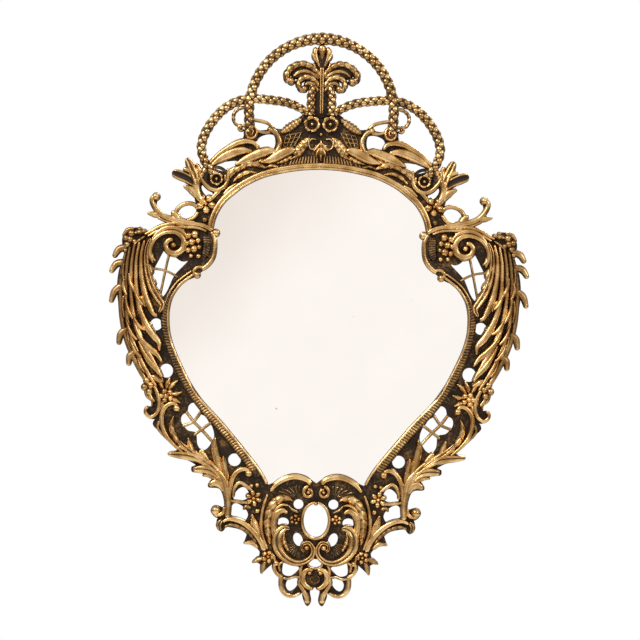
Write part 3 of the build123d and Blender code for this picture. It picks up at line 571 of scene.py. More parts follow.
def wing_scrolls():
    """Volutes, berries, flower and small leaves of the wing, top to foot."""
    r = Relief()
    r.stroke([(119, 100.5), (128, 104), (142, 105), (158, 104.3), (171, 100.7), (183, 94)],
             [3, 3.8, 4, 4, 3.8, 3], 4.9)
    r.stroke([(139.5, 92), (144.5, 99.5), (153, 104), (163, 103.6), (171, 99), (178, 90)],
             [3.4, 5, 5.6, 5.6, 5, 3], 6.2)
    r.stroke([(176, 66), (179.5, 77), (177.5, 87), (171, 94.8), (161, 99.2), (152, 98.8), (145.8, 94.4),
              (143.6, 87), (146.4, 80), (153.4, 77), (160.3, 79.8), (162.6, 86.2), (159, 91),
              (154, 91)],
             [2, 6, 6, 5.6, 5.2, 5.4, 6, 6.8, 7.6, 8, 7.6, 7, 6.4, 5],
             [5, 6, 6.6, 7, 7, 7, 7, 7, 7.4, 7.6, 8])
    r.bead(154.4, 86, 3.8, 9)
    r.stroke([(180, 82), (178, 74), (173, 68)], [4, 7.5, 3], 5.6, "leaf")
    r.stroke([(182, 100), (189, 99.5), (197, 97.5)], [4, 7, 4], 5.6, "leaf", lobes=3, bright=0.7)
    r.stroke([(184, 95), (190, 91), (197, 85)], [3, 6, 4], 5.6, "leaf", lobes=3, bright=0.7)
    r.stroke([(196, 103), (203, 101), (208.6, 94)], [3, 5, 3], 5, bright=0.6)
    r.berries([(199.5, 97.5, 4.6), (205, 92.5, 4), (203.4, 85.6, 4.2), (196, 89, 3.6),
               (200.5, 91.3, 4.4), (205.4, 79.6, 3.4), (190.5, 102, 3)], 2.2, bright=0.6)
    # flower under the wing's holes, with its leaves
    for tip in ([(158, -68), (152.5, -61), (147, -57)], [(156, -72), (149, -71.5), (142, -69)],
                [(156, -76), (149.5, -79), (144, -81.5)], [(160, -67), (159, -60), (155.5, -54)],
                [(163, -67), (166.5, -61), (167.5, -56)], [(162, -78), (164.4, -85), (162, -92)]):
        r.stroke(tip, [3, 6, 2.6], 5.4, "leaf")
    for x, z in [(156, -70), (162, -69), (165, -74), (161.5, -78.5), (155.5, -76.5)]:
        r.bead(x, z, 3.8, 6.8)
    r.bead(160.2, -73.7, 3.6, 8)
    # hook at the outer edge
    r.stroke([(173, -63), (168.5, -74), (167.3, -85), (170.5, -93), (176.5, -96.3), (181.3, -92.5),
              (181.3, -88), (177.8, -86)], [4, 5, 5.4, 5.4, 5, 4.6, 4.2, 3.4], 5.8)
    r.stroke([(179, -66), (177, -74), (172, -81)], [4, 4.4, 3], 4.8, bright=0.8)
    # C scroll beside the lower lattice
    r.bead(148.8, -87, 4.8, 7.6)
    r.stroke([(147.5, -85.5), (152, -81.8), (158, -83.3), (163.2, -90), (164.6, -99), (163, -108),
              (158.5, -117), (151, -125.5), (141, -134)], [4, 5.6, 6, 6, 5.4, 5, 4.6, 4, 3], 6.2)
    r.stroke([(151, -94), (154, -102), (153.4, -111), (149, -120), (142, -130)], [2, 7, 8, 7, 3],
             5.6, "leaf", lobes=4)
    r.stroke([(167, -100), (168.5, -108), (160, -118), (150, -126)], [3], 3.8, bright=0.6)
    # small inner C scrolls above the foot
    r.bead(71.5, -155, 4.8, 7.2)
    r.stroke([(70, -153.5), (76, -150.3), (83, -152.6), (88.5, -160), (91, -170), (91.8, -186)],
             [4.4, 6, 6, 5.6, 5, 3.6], 5.8)
    r.stroke([(66.5, -174), (74, -168), (81, -164.6), (86.3, -170), (88, -181)], [3, 4.4, 4.4, 4, 3],
             4.8, bright=0.9)
    r.stroke([(69, -186), (78, -185.6), (91, -184)], [3.4], 4.2, bright=0.75)
    r.stroke([(68, -192), (74, -190), (77, -194)], [4, 5, 2], 4, "leaf", bright=0.5)
    # six-petalled flower, leaf and stem scroll at the cartouche
    r.blossom(66, -181, 6, 20, [1.5, 5, 9.4], [3, 5.4, 5], [4, 6, 5.4], (2.8, 7))
    r.berries([(62.5, -167, 3.2), (68.5, -168, 3), (62, -194.5, 3.4)], 2.2, bright=0.8)
    r.stroke([(67.5, -197), (65.5, -207), (61, -218), (56, -229)], [3, 9, 8, 3], 6, "leaf")
    r.stroke([(53.5, -237), (57, -228), (63.5, -218.5), (72, -210.5), (82, -205), (92, -203.5),
              (99, -206.5)], [5, 7, 7, 6.6, 6, 5.4, 3.4], 6)
    r.stroke([(62, -229), (70, -218.5), (80, -212), (90, -209.5), (97, -212)], [3, 4.4, 4.8, 4.4, 3], 4.4,
             lobes=7, bright=0.5)
    r.stroke([(60, -234), (67, -228), (76.5, -229)], [4, 6, 2.4], 4.4, "leaf", bright=0.7)
    r.stroke([(99, -204), (102.5, -210), (100.5, -216.5)], [5, 6, 4], 4.6, "ribbed", bright=0.7)
    r.bead(106, -194.5, 5.4, 6.6)
    r.stroke([(96.5, -190), (98.5, -197), (104.5, -199.5), (108, -197)], [3.4, 5, 4.4, 3], 4.8)
    return r


def upper_acanthus():
    """The long strands of the wing, which part one after another and hook inwards."""
    r = Relief()
    r.stroke([(205, 78), (208.6, 60), (210, 38), (209.4, 18), (207, 0), (201.6, -19), (193, -38),
              (183.5, -55), (175, -67)], [3, 4.6, 5, 5, 5, 5.4, 5.6, 5.4, 4], 5.2,
             bright=[0.25, 0.35, 0.5, 0.6, 0.8])
    r.stroke([(200.5, 84), (203.6, 62), (204.4, 40), (203.4, 18), (200.4, -3), (194, -22), (185.6, -40),
              (176.5, -55), (170, -65)], [3, 4.6, 5, 5.2, 5.4, 5.6, 5.8, 5.6, 3], 6,
             bright=[0.3, 0.5, 0.75, 0.9, 1])
    r.stroke([(195.5, 87), (198.5, 66), (199, 46), (198, 26), (195, 8), (189, -9), (181.6, -25),
              (173.4, -39), (166, -50)], [3, 4.4, 5, 5.2, 5.6, 6.4, 7, 7.4, 3], 7,
             bright=[0.4, 0.75, 1, 1])
    r.stroke([(190.4, 89), (193.4, 70), (193.6, 52), (192.4, 34), (188.8, 17), (182.6, 2), (175.6, -9),
              (168.5, -17.5), (167.5, -27)], [3, 4.4, 5, 5.4, 6.2, 7.4, 9, 8.5, 3], 7.6)
    r.stroke([(185, 91), (188.2, 75), (188.4, 60), (186.8, 46), (183.4, 32), (178.6, 20), (174.4, 12.5),
              (169.5, 11)], [3, 4.6, 5.2, 6, 7, 8, 7.4, 4], 8)
    r.stroke([(178, 93), (182, 84), (183.2, 72), (182, 60), (179.4, 48), (175.4, 38), (170, 29.5),
              (165.5, 22), (169, 13.5)], [3, 5, 6, 7, 8, 8.6, 9, 8, 3], 8.4, "ribbed")
    r.stroke([(197, 14), (192.6, -3), (185.8, -16), (178, -24), (170, -30.6), (164.5, -38.5)],
             [2, 4, 6, 8, 7.4, 3], 8)
    r.stroke([(190, -16), (184, -29), (176.4, -40), (169.4, -47.4), (164, -55)], [2, 5, 7.4, 7, 3], 7.6)
    for tip in ([(186, 68), (180.5, 61.5), (176, 54)], [(184, 53), (178, 47.4), (172, 43)],
                [(181, 42), (174, 37), (168, 31)], [(189, 32), (185.4, 26), (183.4, 19)],
                [(176, -52), (169, -57), (162.5, -59.6)], [(186, 8), (180, 1.4), (175.4, 0.4)]):
        r.stroke(tip, [5, 8.4, 8, 3.4], 6.6, "leaf")
    for tip in ([(206.5, 66), (207.6, 54), (205.4, 44)], [(206.4, 32), (207.4, 20), (205.4, 8)],
                [(202, -6), (200.4, -16), (195, -27)], [(191, -30), (188.6, -41), (182.6, -50)]):
        r.stroke(tip, [2, 3.4, 2], 7, bright=0.8)
    for tip in ([(201, 56), (199, 44), (192.5, 33)], [(204, 30), (202, 18), (195.6, 6)],
                [(196, 40), (191, 28), (184.6, 21)], [(203, 6), (199, -6), (191, -16)],
                [(197, 12), (190, 0), (182.4, -5)], [(199, -14), (194, -26), (186, -34)],
                [(206, 50), (206.4, 40), (202.6, 31)]):
        r.stroke(tip, [2.4, 5.6, 3], 9, bright=[0.5, 1, 1])
    for x, z in [(181, -58), (176.5, -63), (183, -65), (178, -70)]:
        r.bead(x, z, 4.4, 6.4, bright=0.8)
    return r


def lower_acanthus():
    """The leaf that fans out of one stem below the lattice."""
    r = Relief()
    r.stroke([(93.5, -203), (93, -190), (94.5, -175), (99, -160), (106, -150)], [6, 7, 8.5, 9, 5], 6.4)
    r.stroke([(95, -176), (102, -158), (113, -146), (127, -136.5), (138, -129), (146, -121)],
             [4, 8, 9, 8, 7, 3], 6.4, "ribbed")
    r.stroke([(112, -148), (124, -140.5), (136, -137), (147, -136), (158, -135.4)], [5, 9, 9.5, 8, 4], 6.6,
             "ribbed")
    r.stroke([(101, -162), (109, -154), (119, -151), (131, -151.5)], [5, 9, 10, 6], 6.4, "ribbed")
    r.stroke([(96, -175), (101, -167), (107.5, -165), (113.5, -168.5)], [5, 8, 8.5, 5], 6)
    r.stroke([(100, -155), (105.5, -140), (108, -128), (107, -116.5)], [4, 9, 9, 3], 6.4, "leaf")
    r.stroke([(95, -168), (96, -155), (98, -145), (98.5, -136)], [4, 7.4, 7, 3], 6, "leaf")
    r.stroke([(114, -143), (120, -136), (124, -130)], [5, 7.6, 4.6], 6)
    r.stroke([(129, -135), (134.5, -126), (136.5, -117)], [4, 7, 3], 5.8, "leaf")
    r.stroke([(136, -132.5), (141, -129), (147, -127.5)], [4, 5, 3.6], 6.4)
    r.stroke([(104, -163), (113, -158), (121, -158)], [3, 5, 2], 4.6, bright=0.7)
    return r


# ---- cartouche
def cartouche_middle():
    """The oval's rim with the bead at its top, and the rim of the small hole below."""
    r = Relief()
    r.stroke(oval(0, -204, 14.6, 19.4, 90), [3.2], 5.2)
    r.stroke(oval(0, -249.5, 7.9, 5.4, 40), [2.2], 4, bright=0.8)
    r.bead(0, -186, 2.4, 5)
    return r


def cartouche_scrolls():
    """C scrolls, leaves, flutes, flowers and volutes round the oval, and the pendant's curls."""
    r = Relief()
    r.stroke([(5.5, -166.5), (9, -162), (16, -159), (24, -158.2), (33, -160.6), (42, -166), (49, -174)],
             [4.4, 6, 6.4, 6.4, 6, 5.6, 4], 5.8)
    r.stroke(spiral(7.8, -174, 6.4, 2.6, 95, -1.1, 30), [4.6, 4.6, 4, 3.4], [5.6, 7])
    r.bead(8, -174, 3, 7.4)
    for k in range(5):
        u = k / 4
        r.stroke([(19 + 4 * u, -178 - 1.5 * u), (19.5 + 21 * u, -166.5 - 4 * u * u - 4.5 * u)], [2, 4.6],
                 [1.6, 3], "hollow", bright=0.75)
    r.stroke([(51, -176), (55, -187), (57.3, -200), (57.3, -214), (54.5, -225), (50.5, -235)],
             [3, 3.6, 4, 4, 4, 3], 5)
    r.stroke([(23, -184), (29, -181), (37, -181), (44, -186), (48.6, -195), (50.5, -206), (50, -218),
              (48, -230)], [3, 9, 11, 11.5, 11, 10, 8, 3], 7, "leaf", lobes=7)
    r.stroke([(28, -188), (36, -187.6), (42, -192.4), (45.4, -201), (46, -212), (44.6, -222)],
             [2, 4, 4.4, 4.4, 4, 2], 6.4)
    r.stroke([(29, -196.5), (35, -193.5), (41, -196.5), (43.8, -204), (43.6, -213), (40.5, -219)],
             [3, 7, 7.6, 7.6, 6.6, 3], 6.6)
    r.stroke([(26.5, -213), (32, -212), (38, -216), (41, -224), (39, -235), (31.5, -244), (20.5, -248.8),
              (10.5, -247.3), (3.4, -240.8), (2.6, -233), (7, -227.3), (12.8, -228.8), (14.2, -234),
              (10.4, -237.2)],
             [3, 9.6, 11, 11.5, 11, 10, 8.4, 7.2, 6.6, 6.2, 5.8, 5, 4.2, 3],
             [5, 6, 7, 7.4, 7.4, 7.2, 7, 6.6, 6.4, 6.6, 7, 7.4, 7.8], "ribbed")
    r.bead(9.2, -232.8, 3.8, 8.4)
    r.stroke([(33, -216), (33.5, -226), (28, -237)], [3, 7, 4], 4.8, "leaf", lobes=5)
    for k in range(5):
        u = k / 4
        r.stroke([(19 + 2 * u, -234 + 4 * u), (21 + 12 * u, -243 + 12 * u * u)], [1.6, 3.2], [1.6, 3],
                 "hollow", bright=0.6)
    r.blossom(22, -203, 5, 30, [1, 3.4, 6.4], [2.4, 5, 5], [4, 6.4, 5.4], (1.9, 7))
    r.stroke([(18, -196), (25, -192.5), (30, -187)], [2, 2.6, 2], 3.6, bright=0.7)
    # side flower with its leaves
    r.blossom(50, -242.5, 5, 40, [1, 4, 7.4], [3, 6, 6], [4, 6.6, 5.6], (2.2, 7.4))
    r.stroke([(54, -244), (60, -246), (67, -249.5)], [5, 6, 2], 5, "leaf", bright=0.7)
    r.stroke([(52, -247), (55, -253), (57, -261.5)], [5, 6, 2], 5, "leaf", bright=0.7)
    r.stroke([(48, -238), (44, -242), (42, -249)], [3, 4, 3], 5)
    # pendant
    r.stroke([(2, -257.5), (5.5, -255.3), (10, -257), (12.8, -263), (11.5, -270), (6, -275), (1.2, -276)],
             [3.6, 5, 6.4, 7, 7, 6, 4], 6.4)
    r.bead(5.6, -259.3, 3.2, 6.8)
    r.stroke([(2.4, -262), (5, -266.5), (1.5, -271)], [2], 2.4, bright=0.3)
    r.stroke([(13.5, -262), (16.5, -270), (12.5, -277.5), (8.6, -284), (7.8, -292)],
             [3.4, 4.4, 5.2, 5.8, 5.8], 5.4, bright=0.85)
    r.stroke([(14.5, -280), (22, -284), (29.5, -283), (34.5, -277.5), (35.8, -270), (36, -264.5),
              (40.8, -259.6), (43.4, -253), (40.8, -248)], [3.4, 4, 4.4, 5, 5.4, 5, 4.4, 4.6, 4], 5.6)
    r.bead(41, -249.5, 4, 6.6)
    r.stroke([(14.5, -264), (21, -263.8), (29, -266.2), (36, -265)], [2.6], 4.2, bright=0.8)
    r.stroke([(13, -250.5), (15.5, -257), (15, -264)], [3, 3.6, 3], 4.6)
    r.stroke([(33, -247.5), (38, -251), (37, -259)], [3, 3, 2.6], 4.4, bright=0.8)
    return r


# ---- node groups and materials
BLACK_PATINA = (0.020, 0.011, 0.005)
BROWN_PATINA = (0.25, 0.138, 0.05)
DULL_GOLD = (0.43, 0.25, 0.09)
BRIGHT_GOLD = (0.77, 0.53, 0.25)
FIRST_COLOUR, SECOND_COLOUR, BLENDED_COLOUR = 6, 7, 2    # the Mix node's colour sockets


def node_group(name, inputs, outputs):
    """A shader node group with named sockets, each given as (name, socket kind, value)."""
    group = bpy.data.node_groups.new(name, "ShaderNodeTree")
    for label, kind, value in inputs:
        socket = group.interface.new_socket(label, in_out="INPUT", socket_type=kind)
        socket.default_value = value
    for label, kind in outputs:
        group.interface.new_socket(label, in_out="OUTPUT", socket_type=kind)
    return group, group.nodes.new("NodeGroupInput"), group.nodes.new("NodeGroupOutput")


def noise(tree, vector, scale, detail, roughness=0.55):
    """A socket that gives cloudy noise from 0 to 1, of so many cells to a metre."""
    node = tree.nodes.new("ShaderNodeTexNoise")
    node.inputs["Scale"].default_value = scale
    node.inputs["Detail"].default_value = detail
    node.inputs["Roughness"].default_value = roughness
    tree.links.new(vector, node.inputs["Vector"])
    return node.outputs["Fac"]


def math_node(tree, operation, a, b):
    """A socket that gives a sum, difference or product of two numbers or sockets."""
    node = tree.nodes.new("ShaderNodeMath")
    node.operation = operation
    for socket, value in zip(node.inputs, (a, b)):
        if isinstance(value, (int, float)):
            socket.default_value = value
        else:
            tree.links.new(value, socket)
    return node.outputs["Value"]


def remap(tree, value, low, high, to_low=0.0, to_high=1.0):
    """A socket that glides from to_low to to_high as the value goes from low to high."""
    node = tree.nodes.new("ShaderNodeMapRange")
    node.interpolation_type = "SMOOTHSTEP"
    for label, number in (("From Min", low), ("From Max", high), ("To Min", to_low), ("To Max", to_high)):
        node.inputs[label].default_value = number
    tree.links.new(value, node.inputs["Value"])
    return node.outputs["Result"]


def blend(tree, mask, dark, light):
    """A colour between two colours or sockets, by a mask."""
    node = tree.nodes.new("ShaderNodeMix")
    node.data_type = "RGBA"
    tree.links.new(mask, node.inputs["Factor"])
    for socket, value in ((node.inputs[FIRST_COLOUR], dark), (node.inputs[SECOND_COLOUR], light)):
        if isinstance(value, tuple):
            socket.default_value = (*value, 1)
        else:
            tree.links.new(value, socket)
    return node.outputs[BLENDED_COLOUR]


def rubbed_patina():
    """Cast brass that has darkened and is rubbed bright where it stands out: the mask, broken by
    noise of two sizes, blends black-brown patina, brown half-tones and gold."""
    group, given, made = node_group(
        "rubbed_patina",
        [("Vector", "NodeSocketVector", (0, 0, 0)), ("Crest", "NodeSocketFloat", 0.0),
         ("Rubbed", "NodeSocketFloat", 0.0)],
        [("Colour", "NodeSocketColor"), ("Roughness", "NodeSocketFloat"),
         ("Metallic", "NodeSocketFloat"), ("Height", "NodeSocketFloat")])
    place = given.outputs["Vector"]
    cloud = noise(group, place, 70, 3)
    grain = noise(group, place, 420, 4, 0.65)
    broken = math_node(group, "ADD", math_node(group, "MULTIPLY", cloud, 0.45),
                       math_node(group, "MULTIPLY", grain, 0.55))
    shift = math_node(group, "SUBTRACT", broken, 0.5)
    bright = math_node(group, "ADD", given.outputs["Crest"], given.outputs["Rubbed"])
    mask = math_node(group, "ADD", bright, math_node(group, "MULTIPLY", shift, 1.35))
    gold = blend(group, remap(group, cloud, 0.35, 0.68), DULL_GOLD, BRIGHT_GOLD)
    half = blend(group, remap(group, mask, 0.12, 0.42), BLACK_PATINA, BROWN_PATINA)
    colour = blend(group, remap(group, mask, 0.40, 0.95), half, gold)
    group.links.new(colour, made.inputs["Colour"])
    group.links.new(remap(group, mask, 0.2, 0.8, 0.52, 0.27), made.inputs["Roughness"])
    group.links.new(remap(group, mask, 0.1, 0.5, 0.6, 1.0), made.inputs["Metallic"])
    group.links.new(grain, made.inputs["Height"])
    return group


def fine_wear():
    """Two sizes of noise between 0 and 1, for smudges and for grain, on any plain finish."""
    group, given, made = node_group(
        "fine_wear",
        [("Vector", "NodeSocketVector", (0, 0, 0)), ("Smudge", "NodeSocketFloat", 40.0),
         ("Grain", "NodeSocketFloat", 900.0)],
        [("Smudges", "NodeSocketFloat"), ("Grains", "NodeSocketFloat")])
    for label, result in (("Smudge", "Smudges"), ("Grain", "Grains")):
        node = group.nodes.new("ShaderNodeTexNoise")
        node.inputs["Detail"].default_value = 3
        group.links.new(given.outputs["Vector"], node.inputs["Vector"])
        group.links.new(given.outputs[label], node.inputs["Scale"])
        group.links.new(node.outputs["Fac"], made.inputs[result])
    return group


def finish(name, roughness=0.5, metallic=0.0):
    """A material with its Principled shader, and its Object coordinates as a socket."""
    material = bpy.data.materials.new(name)
    material.use_nodes = True
    tree = material.node_tree
    shader = tree.nodes["Principled BSDF"]
    shader.inputs["Roughness"].default_value = roughness
    shader.inputs["Metallic"].default_value = metallic
    where = tree.nodes.new("ShaderNodeTexCoord").outputs["Object"]
    return material, tree, shader, where


def bump(tree, shader, height, strength, distance):
    """Lets a height between 0 and 1 roughen the shader's normals; distance is in metres."""
    node = tree.nodes.new("ShaderNodeBump")
    node.inputs["Strength"].default_value = strength
    node.inputs["Distance"].default_value = distance
    tree.links.new(height, node.inputs["Height"])
    tree.links.new(node.outputs["Normal"], shader.inputs["Normal"])


def placed(tree, group, where, **values):
    """Places a node group in a material, on its Object coordinates, with values of its own."""
    node = tree.nodes.new("ShaderNodeGroup")
    node.node_tree = group
    for label, value in values.items():
        node.inputs[label].default_value = value
    tree.links.new(where, node.inputs["Vector"])
    return node


def aged(tree, shader, where, patina):
    """Places the patina group in a material and joins its outputs to the shader."""
    age = placed(tree, patina, where)
    for result, socket in (("Colour", "Base Color"), ("Roughness", "Roughness"),
                           ("Metallic", "Metallic")):
        tree.links.new(age.outputs[result], shader.inputs[socket])
    bump(tree, shader, age.outputs["Height"], strength=0.35, distance=0.0006)
    return age


def from_behind(tree, low, high, to_low, to_high):
    """A value that climbs as the surface turns from the front to the wall."""
    facing = tree.nodes.new("ShaderNodeSeparateXYZ")
    tree.links.new(tree.nodes.new("ShaderNodeNewGeometry").outputs["Normal"], facing.inputs[0])
    return remap(tree, facing.outputs["Y"], low, high, to_low, to_high)


def relief_brass(patina):
    """Ornament: gold on the crests, patina in the hollows, by the crest mask of the mesh."""
    material, tree, shader, where = finish("relief_brass")
    age = aged(tree, shader, where, patina)
    crest = tree.nodes.new("ShaderNodeAttribute")
    crest.attribute_name = "crest"
    tree.links.new(crest.outputs["Fac"], age.inputs["Crest"])
    tree.links.new(from_behind(tree, 0.3, 0.9, 0.0, 0.42), age.inputs["Rubbed"])
    return material


def ground_brass(patina):
    """The castings' ground: dark in front, half-bright on the cut edges, dull brass behind."""
    material, tree, shader, where = finish("ground_brass")
    age = aged(tree, shader, where, patina)
    tree.links.new(from_behind(tree, -0.6, 0.6, 0.15, 0.42), age.inputs["Crest"])
    return material


def plain_metal(name, dark, light, roughness, wear):
    """Sheet or screw metal with faint smudges and a fine grain."""
    material, tree, shader, where = finish(name, roughness, metallic=1.0)
    worn = placed(tree, wear, where)
    tree.links.new(blend(tree, remap(tree, worn.outputs["Smudges"], 0.35, 0.65), dark, light),
                   shader.inputs["Base Color"])
    tree.links.new(remap(tree, worn.outputs["Smudges"], 0.3, 0.7, roughness + 0.1, roughness - 0.08),
                   shader.inputs["Roughness"])
    bump(tree, shader, worn.outputs["Grains"], strength=0.15, distance=0.0002)
    return material


def pressed(name, dark, light, smudge, grain, depth, wear):
    """Felt or hardboard: a matt sheet with flecks and a fibrous surface."""
    material, tree, shader, where = finish(name, 0.9)
    shader.inputs["Sheen Weight"].default_value = 0.15
    worn = placed(tree, wear, where, Smudge=smudge, Grain=grain)
    fleck = math_node(tree, "ADD", math_node(tree, "MULTIPLY", worn.outputs["Smudges"], 0.4),
                      math_node(tree, "MULTIPLY", worn.outputs["Grains"], 0.6))
    tree.links.new(blend(tree, remap(tree, fleck, 0.36, 0.64), dark, light), shader.inputs["Base Color"])
    bump(tree, shader, worn.outputs["Grains"], strength=0.5, distance=depth)
    return material


def looking_glass(wear):
    """Silvered glass, very slightly warm, with a few dark specks and faint hazy wipes."""
    material, tree, shader, where = finish("looking_glass", 0.012, metallic=1.0)
    worn = placed(tree, wear, where, Smudge=12)
    dots = tree.nodes.new("ShaderNodeTexVoronoi")
    dots.inputs["Scale"].default_value = 26
    tree.links.new(where, dots.inputs["Vector"])
    clear = remap(tree, dots.outputs["Distance"], 0.018, 0.034)
    silver = blend(tree, remap(tree, worn.outputs["Smudges"], 0.3, 0.7), (0.965, 0.955, 0.94),
                   (0.99, 0.98, 0.965))
    tree.links.new(blend(tree, clear, (0.55, 0.52, 0.48), silver), shader.inputs["Base Color"])
    tree.links.new(remap(tree, worn.outputs["Smudges"], 0.45, 0.8, 0.008, 0.022),
                   shader.inputs["Roughness"])
    return material


# ---- making the pieces
patina, wear = rubbed_patina(), fine_wear()
ORNAMENT = relief_brass(patina)
CAD_FINISHES = {
    "antique_brass": ground_brass(patina),
    "looking_glass": looking_glass(wear),
    "felt": pressed("green_felt", (0.02, 0.06, 0.035), (0.05, 0.12, 0.07), 60, 1500, 0.0004, wear),
    "backing_board": pressed("hardboard", (0.16, 0.09, 0.045), (0.30, 0.18, 0.10), 90, 1100, 0.0003, wear),
    "sheet_brass": plain_metal("sheet_brass", (0.60, 0.40, 0.16), (0.80, 0.58, 0.27), 0.34, wear),
    "fixing_steel": plain_metal("fixing_steel", (0.42, 0.42, 0.43), (0.66, 0.66, 0.66), 0.36, wear),
    "pad_felt": pressed("grey_pad_felt", (0.10, 0.10, 0.10), (0.22, 0.21, 0.20), 80, 1400, 0.0005, wear),
}


def settle(name, relief, sides, *nodes):
    """Makes a relief into a piece of the root body, in antique brass."""
    piece = relief.mesh(name, sides)
    piece.data.materials.append(ORNAMENT)
    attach(piece, "root")
    if nodes:
        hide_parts(*nodes)


def dress_cad():
    """Gives every shown CAD node the finish of its slot in the record."""
    slots = {part["node"]: part["material_slot"] for part in frame["record"]["subparts"]}
    for node, shown in frame["nodes"].items():
        for place in shown.material_slots:
            place.material = CAD_FINISHES[slots[node]]


def join(*reliefs):
    """One relief with the parts of several."""
    whole = Relief()
    for relief in reliefs:
        whole.parts += relief.parts
    return whole


def mirrored(relief):
    """The relief with its mirror image."""
    whole = Relief()
    for part in relief.parts:
        verts, *rest = part
        whole.parts += [part, (verts * (-1, 1, 1), *rest)]
    return whole


def make_ornament():
    """Every piece of ornament, with the CAD node that it stands in for."""
    settle("crest_mouldings", join(mirrored(crest_mouldings()), crest_middle()), [1])
    settle("crest_flowers", join(mirrored(crest_flowers()), crest_bead()), [1], "crest_rosettes")
    settle("volute_flowers", volute_flowers(), [1, -1], "volute_rosettes")
    settle("palmette_leaves", join(palmette_middle(), mirrored(palmette_side())), [1], "palmette")
    settle("tall_rope_arch", centre_rope(), [1], "centre_rope_arch")
    settle("cartouche_scrollwork", mirrored(cartouche_scrolls()), [1], "cartouche_scrolls")
    settle("cartouche_rims", cartouche_middle(), [1])
    for side, hand in ((1, "right"), (-1, "left")):
        settle(f"{hand}_side_rope", side_rope(), [side], f"{hand}_rope_arch")
        settle(f"{hand}_leaf_spray", crest_leaves(), [side], f"{hand}_crest_leaves")
        settle(f"{hand}_sprig", shoulder_sprig(), [side], f"{hand}_shoulder_sprig")
        settle(f"{hand}_wing_mouldings", wing_mouldings(), [side])
        settle(f"{hand}_wing_scrollwork", wing_scrolls(), [side], f"{hand}_wing_scrolls")
        settle(f"{hand}_long_acanthus", upper_acanthus(), [side], f"{hand}_upper_acanthus")
        settle(f"{hand}_fan_acanthus", lower_acanthus(), [side], f"{hand}_lower_acanthus")


# ---- camera, light and floor
CAMERA_DISTANCE = 2.2                # from the castings' ground, in metres
SENSOR = 36.0                        # millimetres
FRAMED = 0.6784                      # width of the view at the castings' ground
AIM = (0.0016, 0.0085)               # what the camera aims at, from the middle of the glass
LEAN = radians(0.8)                  # how far from upright the mirror hangs
BROWN_FLOOR = (0.16, 0.12, 0.09)
BRIGHT_CEILING = (0.95, 0.93, 0.90)
PALE_WALL = (1.0, 0.955, 0.915)
DIM_CORNER = (0.86, 0.79, 0.735)
WHITE = (1.0, 1.0, 1.0)
FLOOR_HALF = 1.6                     # half the floor's width
FLOOR_CELLS = 32
FLOOR_DROP = 0.45                    # from the foot of the mirror
ROLLED_FROM = 1.4                    # the floor bends down beyond this radius
ROLL = 0.12                          # drop for each square metre of the distance beyond it


def set_camera():
    """A level camera in front of the mirror, turned by the lean at which the mirror hangs."""
    data = bpy.data.cameras.new("camera")
    data.sensor_width = SENSOR
    data.lens = SENSOR * CAMERA_DISTANCE / FRAMED
    camera = add_object("camera", data)
    turn = Matrix.Rotation(radians(90), 4, "X") @ Matrix.Rotation(LEAN, 4, "Z")
    camera.matrix_world = Matrix.Translation(
        (AIM[0], GROUND_Y - CAMERA_DISTANCE, MIDDLE_Z + AIM[1])) @ turn
    bpy.context.scene.camera = camera


def softbox(name, azimuth, elevation, distance, size, power, colour):
    """A square area light aimed at the mirror from a bearing: 0 is in front, 90 to the right."""
    data = bpy.data.lights.new(name, "AREA")
    data.shape = "SQUARE"
    data.size = size
    data.energy = power
    data.color = colour
    light = add_object(name, data)
    a, e = radians(azimuth), radians(elevation)
    way = Vector((np.sin(a) * np.cos(e), -np.cos(a) * np.cos(e), np.sin(e)))
    light.location = Vector((0, GROUND_Y, MIDDLE_Z)) + way * distance
    light.rotation_euler = (-way).to_track_quat("-Z", "Y").to_euler()


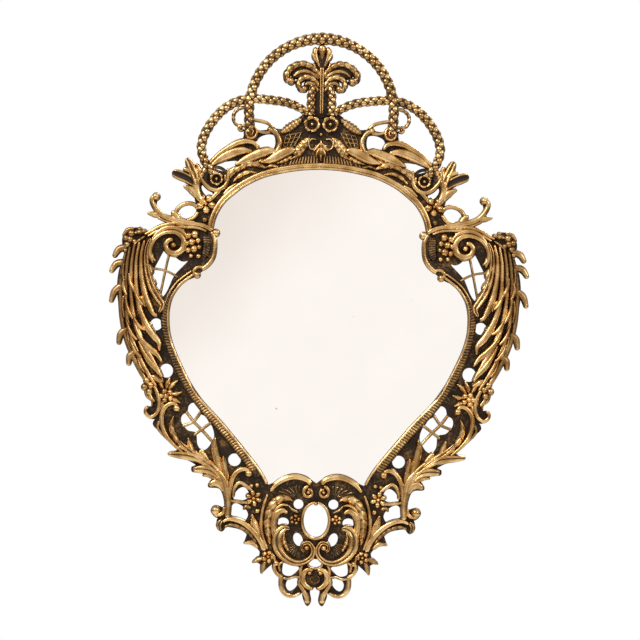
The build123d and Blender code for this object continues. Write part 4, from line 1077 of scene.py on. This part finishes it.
def light_the_room():
    """White surroundings to the eye. The brass and the glass see a room: a pale wall straight in
    front, dimmer walls around it, a bright ceiling and a brown floor."""
    softbox("key_light", -42, 38, 1.8, 0.7, 22, (1.0, 0.97, 0.92))
    softbox("fill_light", 48, 22, 2.0, 0.5, 9, (1.0, 0.96, 0.90))
    softbox("low_light", 8, -48, 1.8, 0.4, 4, (1.0, 0.93, 0.84))
    softbox("back_light", 160, 35, 1.8, 0.6, 12, (1.0, 0.98, 0.95))
    world = bpy.data.worlds.new("studio")
    bpy.context.scene.world = world
    world.use_nodes = True
    tree = world.node_tree
    sky = tree.nodes["Background"]
    way = tree.nodes.new("ShaderNodeSeparateXYZ")
    tree.links.new(tree.nodes.new("ShaderNodeTexCoord").outputs["Generated"], way.inputs[0])
    ahead = math_node(tree, "MULTIPLY", way.outputs["Y"], -1.0)
    room = blend(tree, remap(tree, way.outputs["Z"], -0.35, 0.55), BROWN_FLOOR, BRIGHT_CEILING)
    lean = math_node(tree, "ADD", math_node(tree, "MULTIPLY", way.outputs["X"], -0.75),
                     math_node(tree, "MULTIPLY", way.outputs["Z"], 0.66))
    screen = blend(tree, remap(tree, lean, 0.012, 0.075), PALE_WALL, DIM_CORNER)
    wall = blend(tree, remap(tree, ahead, 0.90, 0.965), room, screen)
    seen = tree.nodes.new("ShaderNodeLightPath").outputs["Is Camera Ray"]
    tree.links.new(blend(tree, seen, wall, WHITE), sky.inputs["Color"])


def lay_floor():
    """A pale floor well below the hanging mirror: level, and bent down at its corners by the
    square of the distance beyond a radius."""
    row = FLOOR_CELLS + 1
    side = np.linspace(-FLOOR_HALF, FLOOR_HALF, row)
    u, v = np.meshgrid(side, side)
    beyond = np.clip(np.hypot(u, v) - ROLLED_FROM, 0, None)
    low = cad_low.z - FLOOR_DROP - ROLL * beyond ** 2
    verts = np.stack([u, v, low], 2).reshape(-1, 3)
    i = np.arange(FLOOR_CELLS)[:, None] * row + np.arange(FLOOR_CELLS)[None, :]
    quads = np.stack([i, i + 1, i + row + 1, i + row], -1).reshape(-1, 4)
    data = bpy.data.meshes.new("floor")
    data.from_pydata(verts.tolist(), [], quads.tolist())
    floor = add_object("floor", data)
    material, tree, shader, where = finish("pale_floor", 0.8)
    tree.links.new(blend(tree, noise(tree, where, 3, 2), (0.78, 0.77, 0.75), (0.84, 0.83, 0.81)),
                   shader.inputs["Base Color"])
    data.materials.append(material)


dress_cad()
make_ornament()
set_camera()
light_the_room()
lay_floor()
bpy.context.scene.view_settings.view_transform = "Standard"
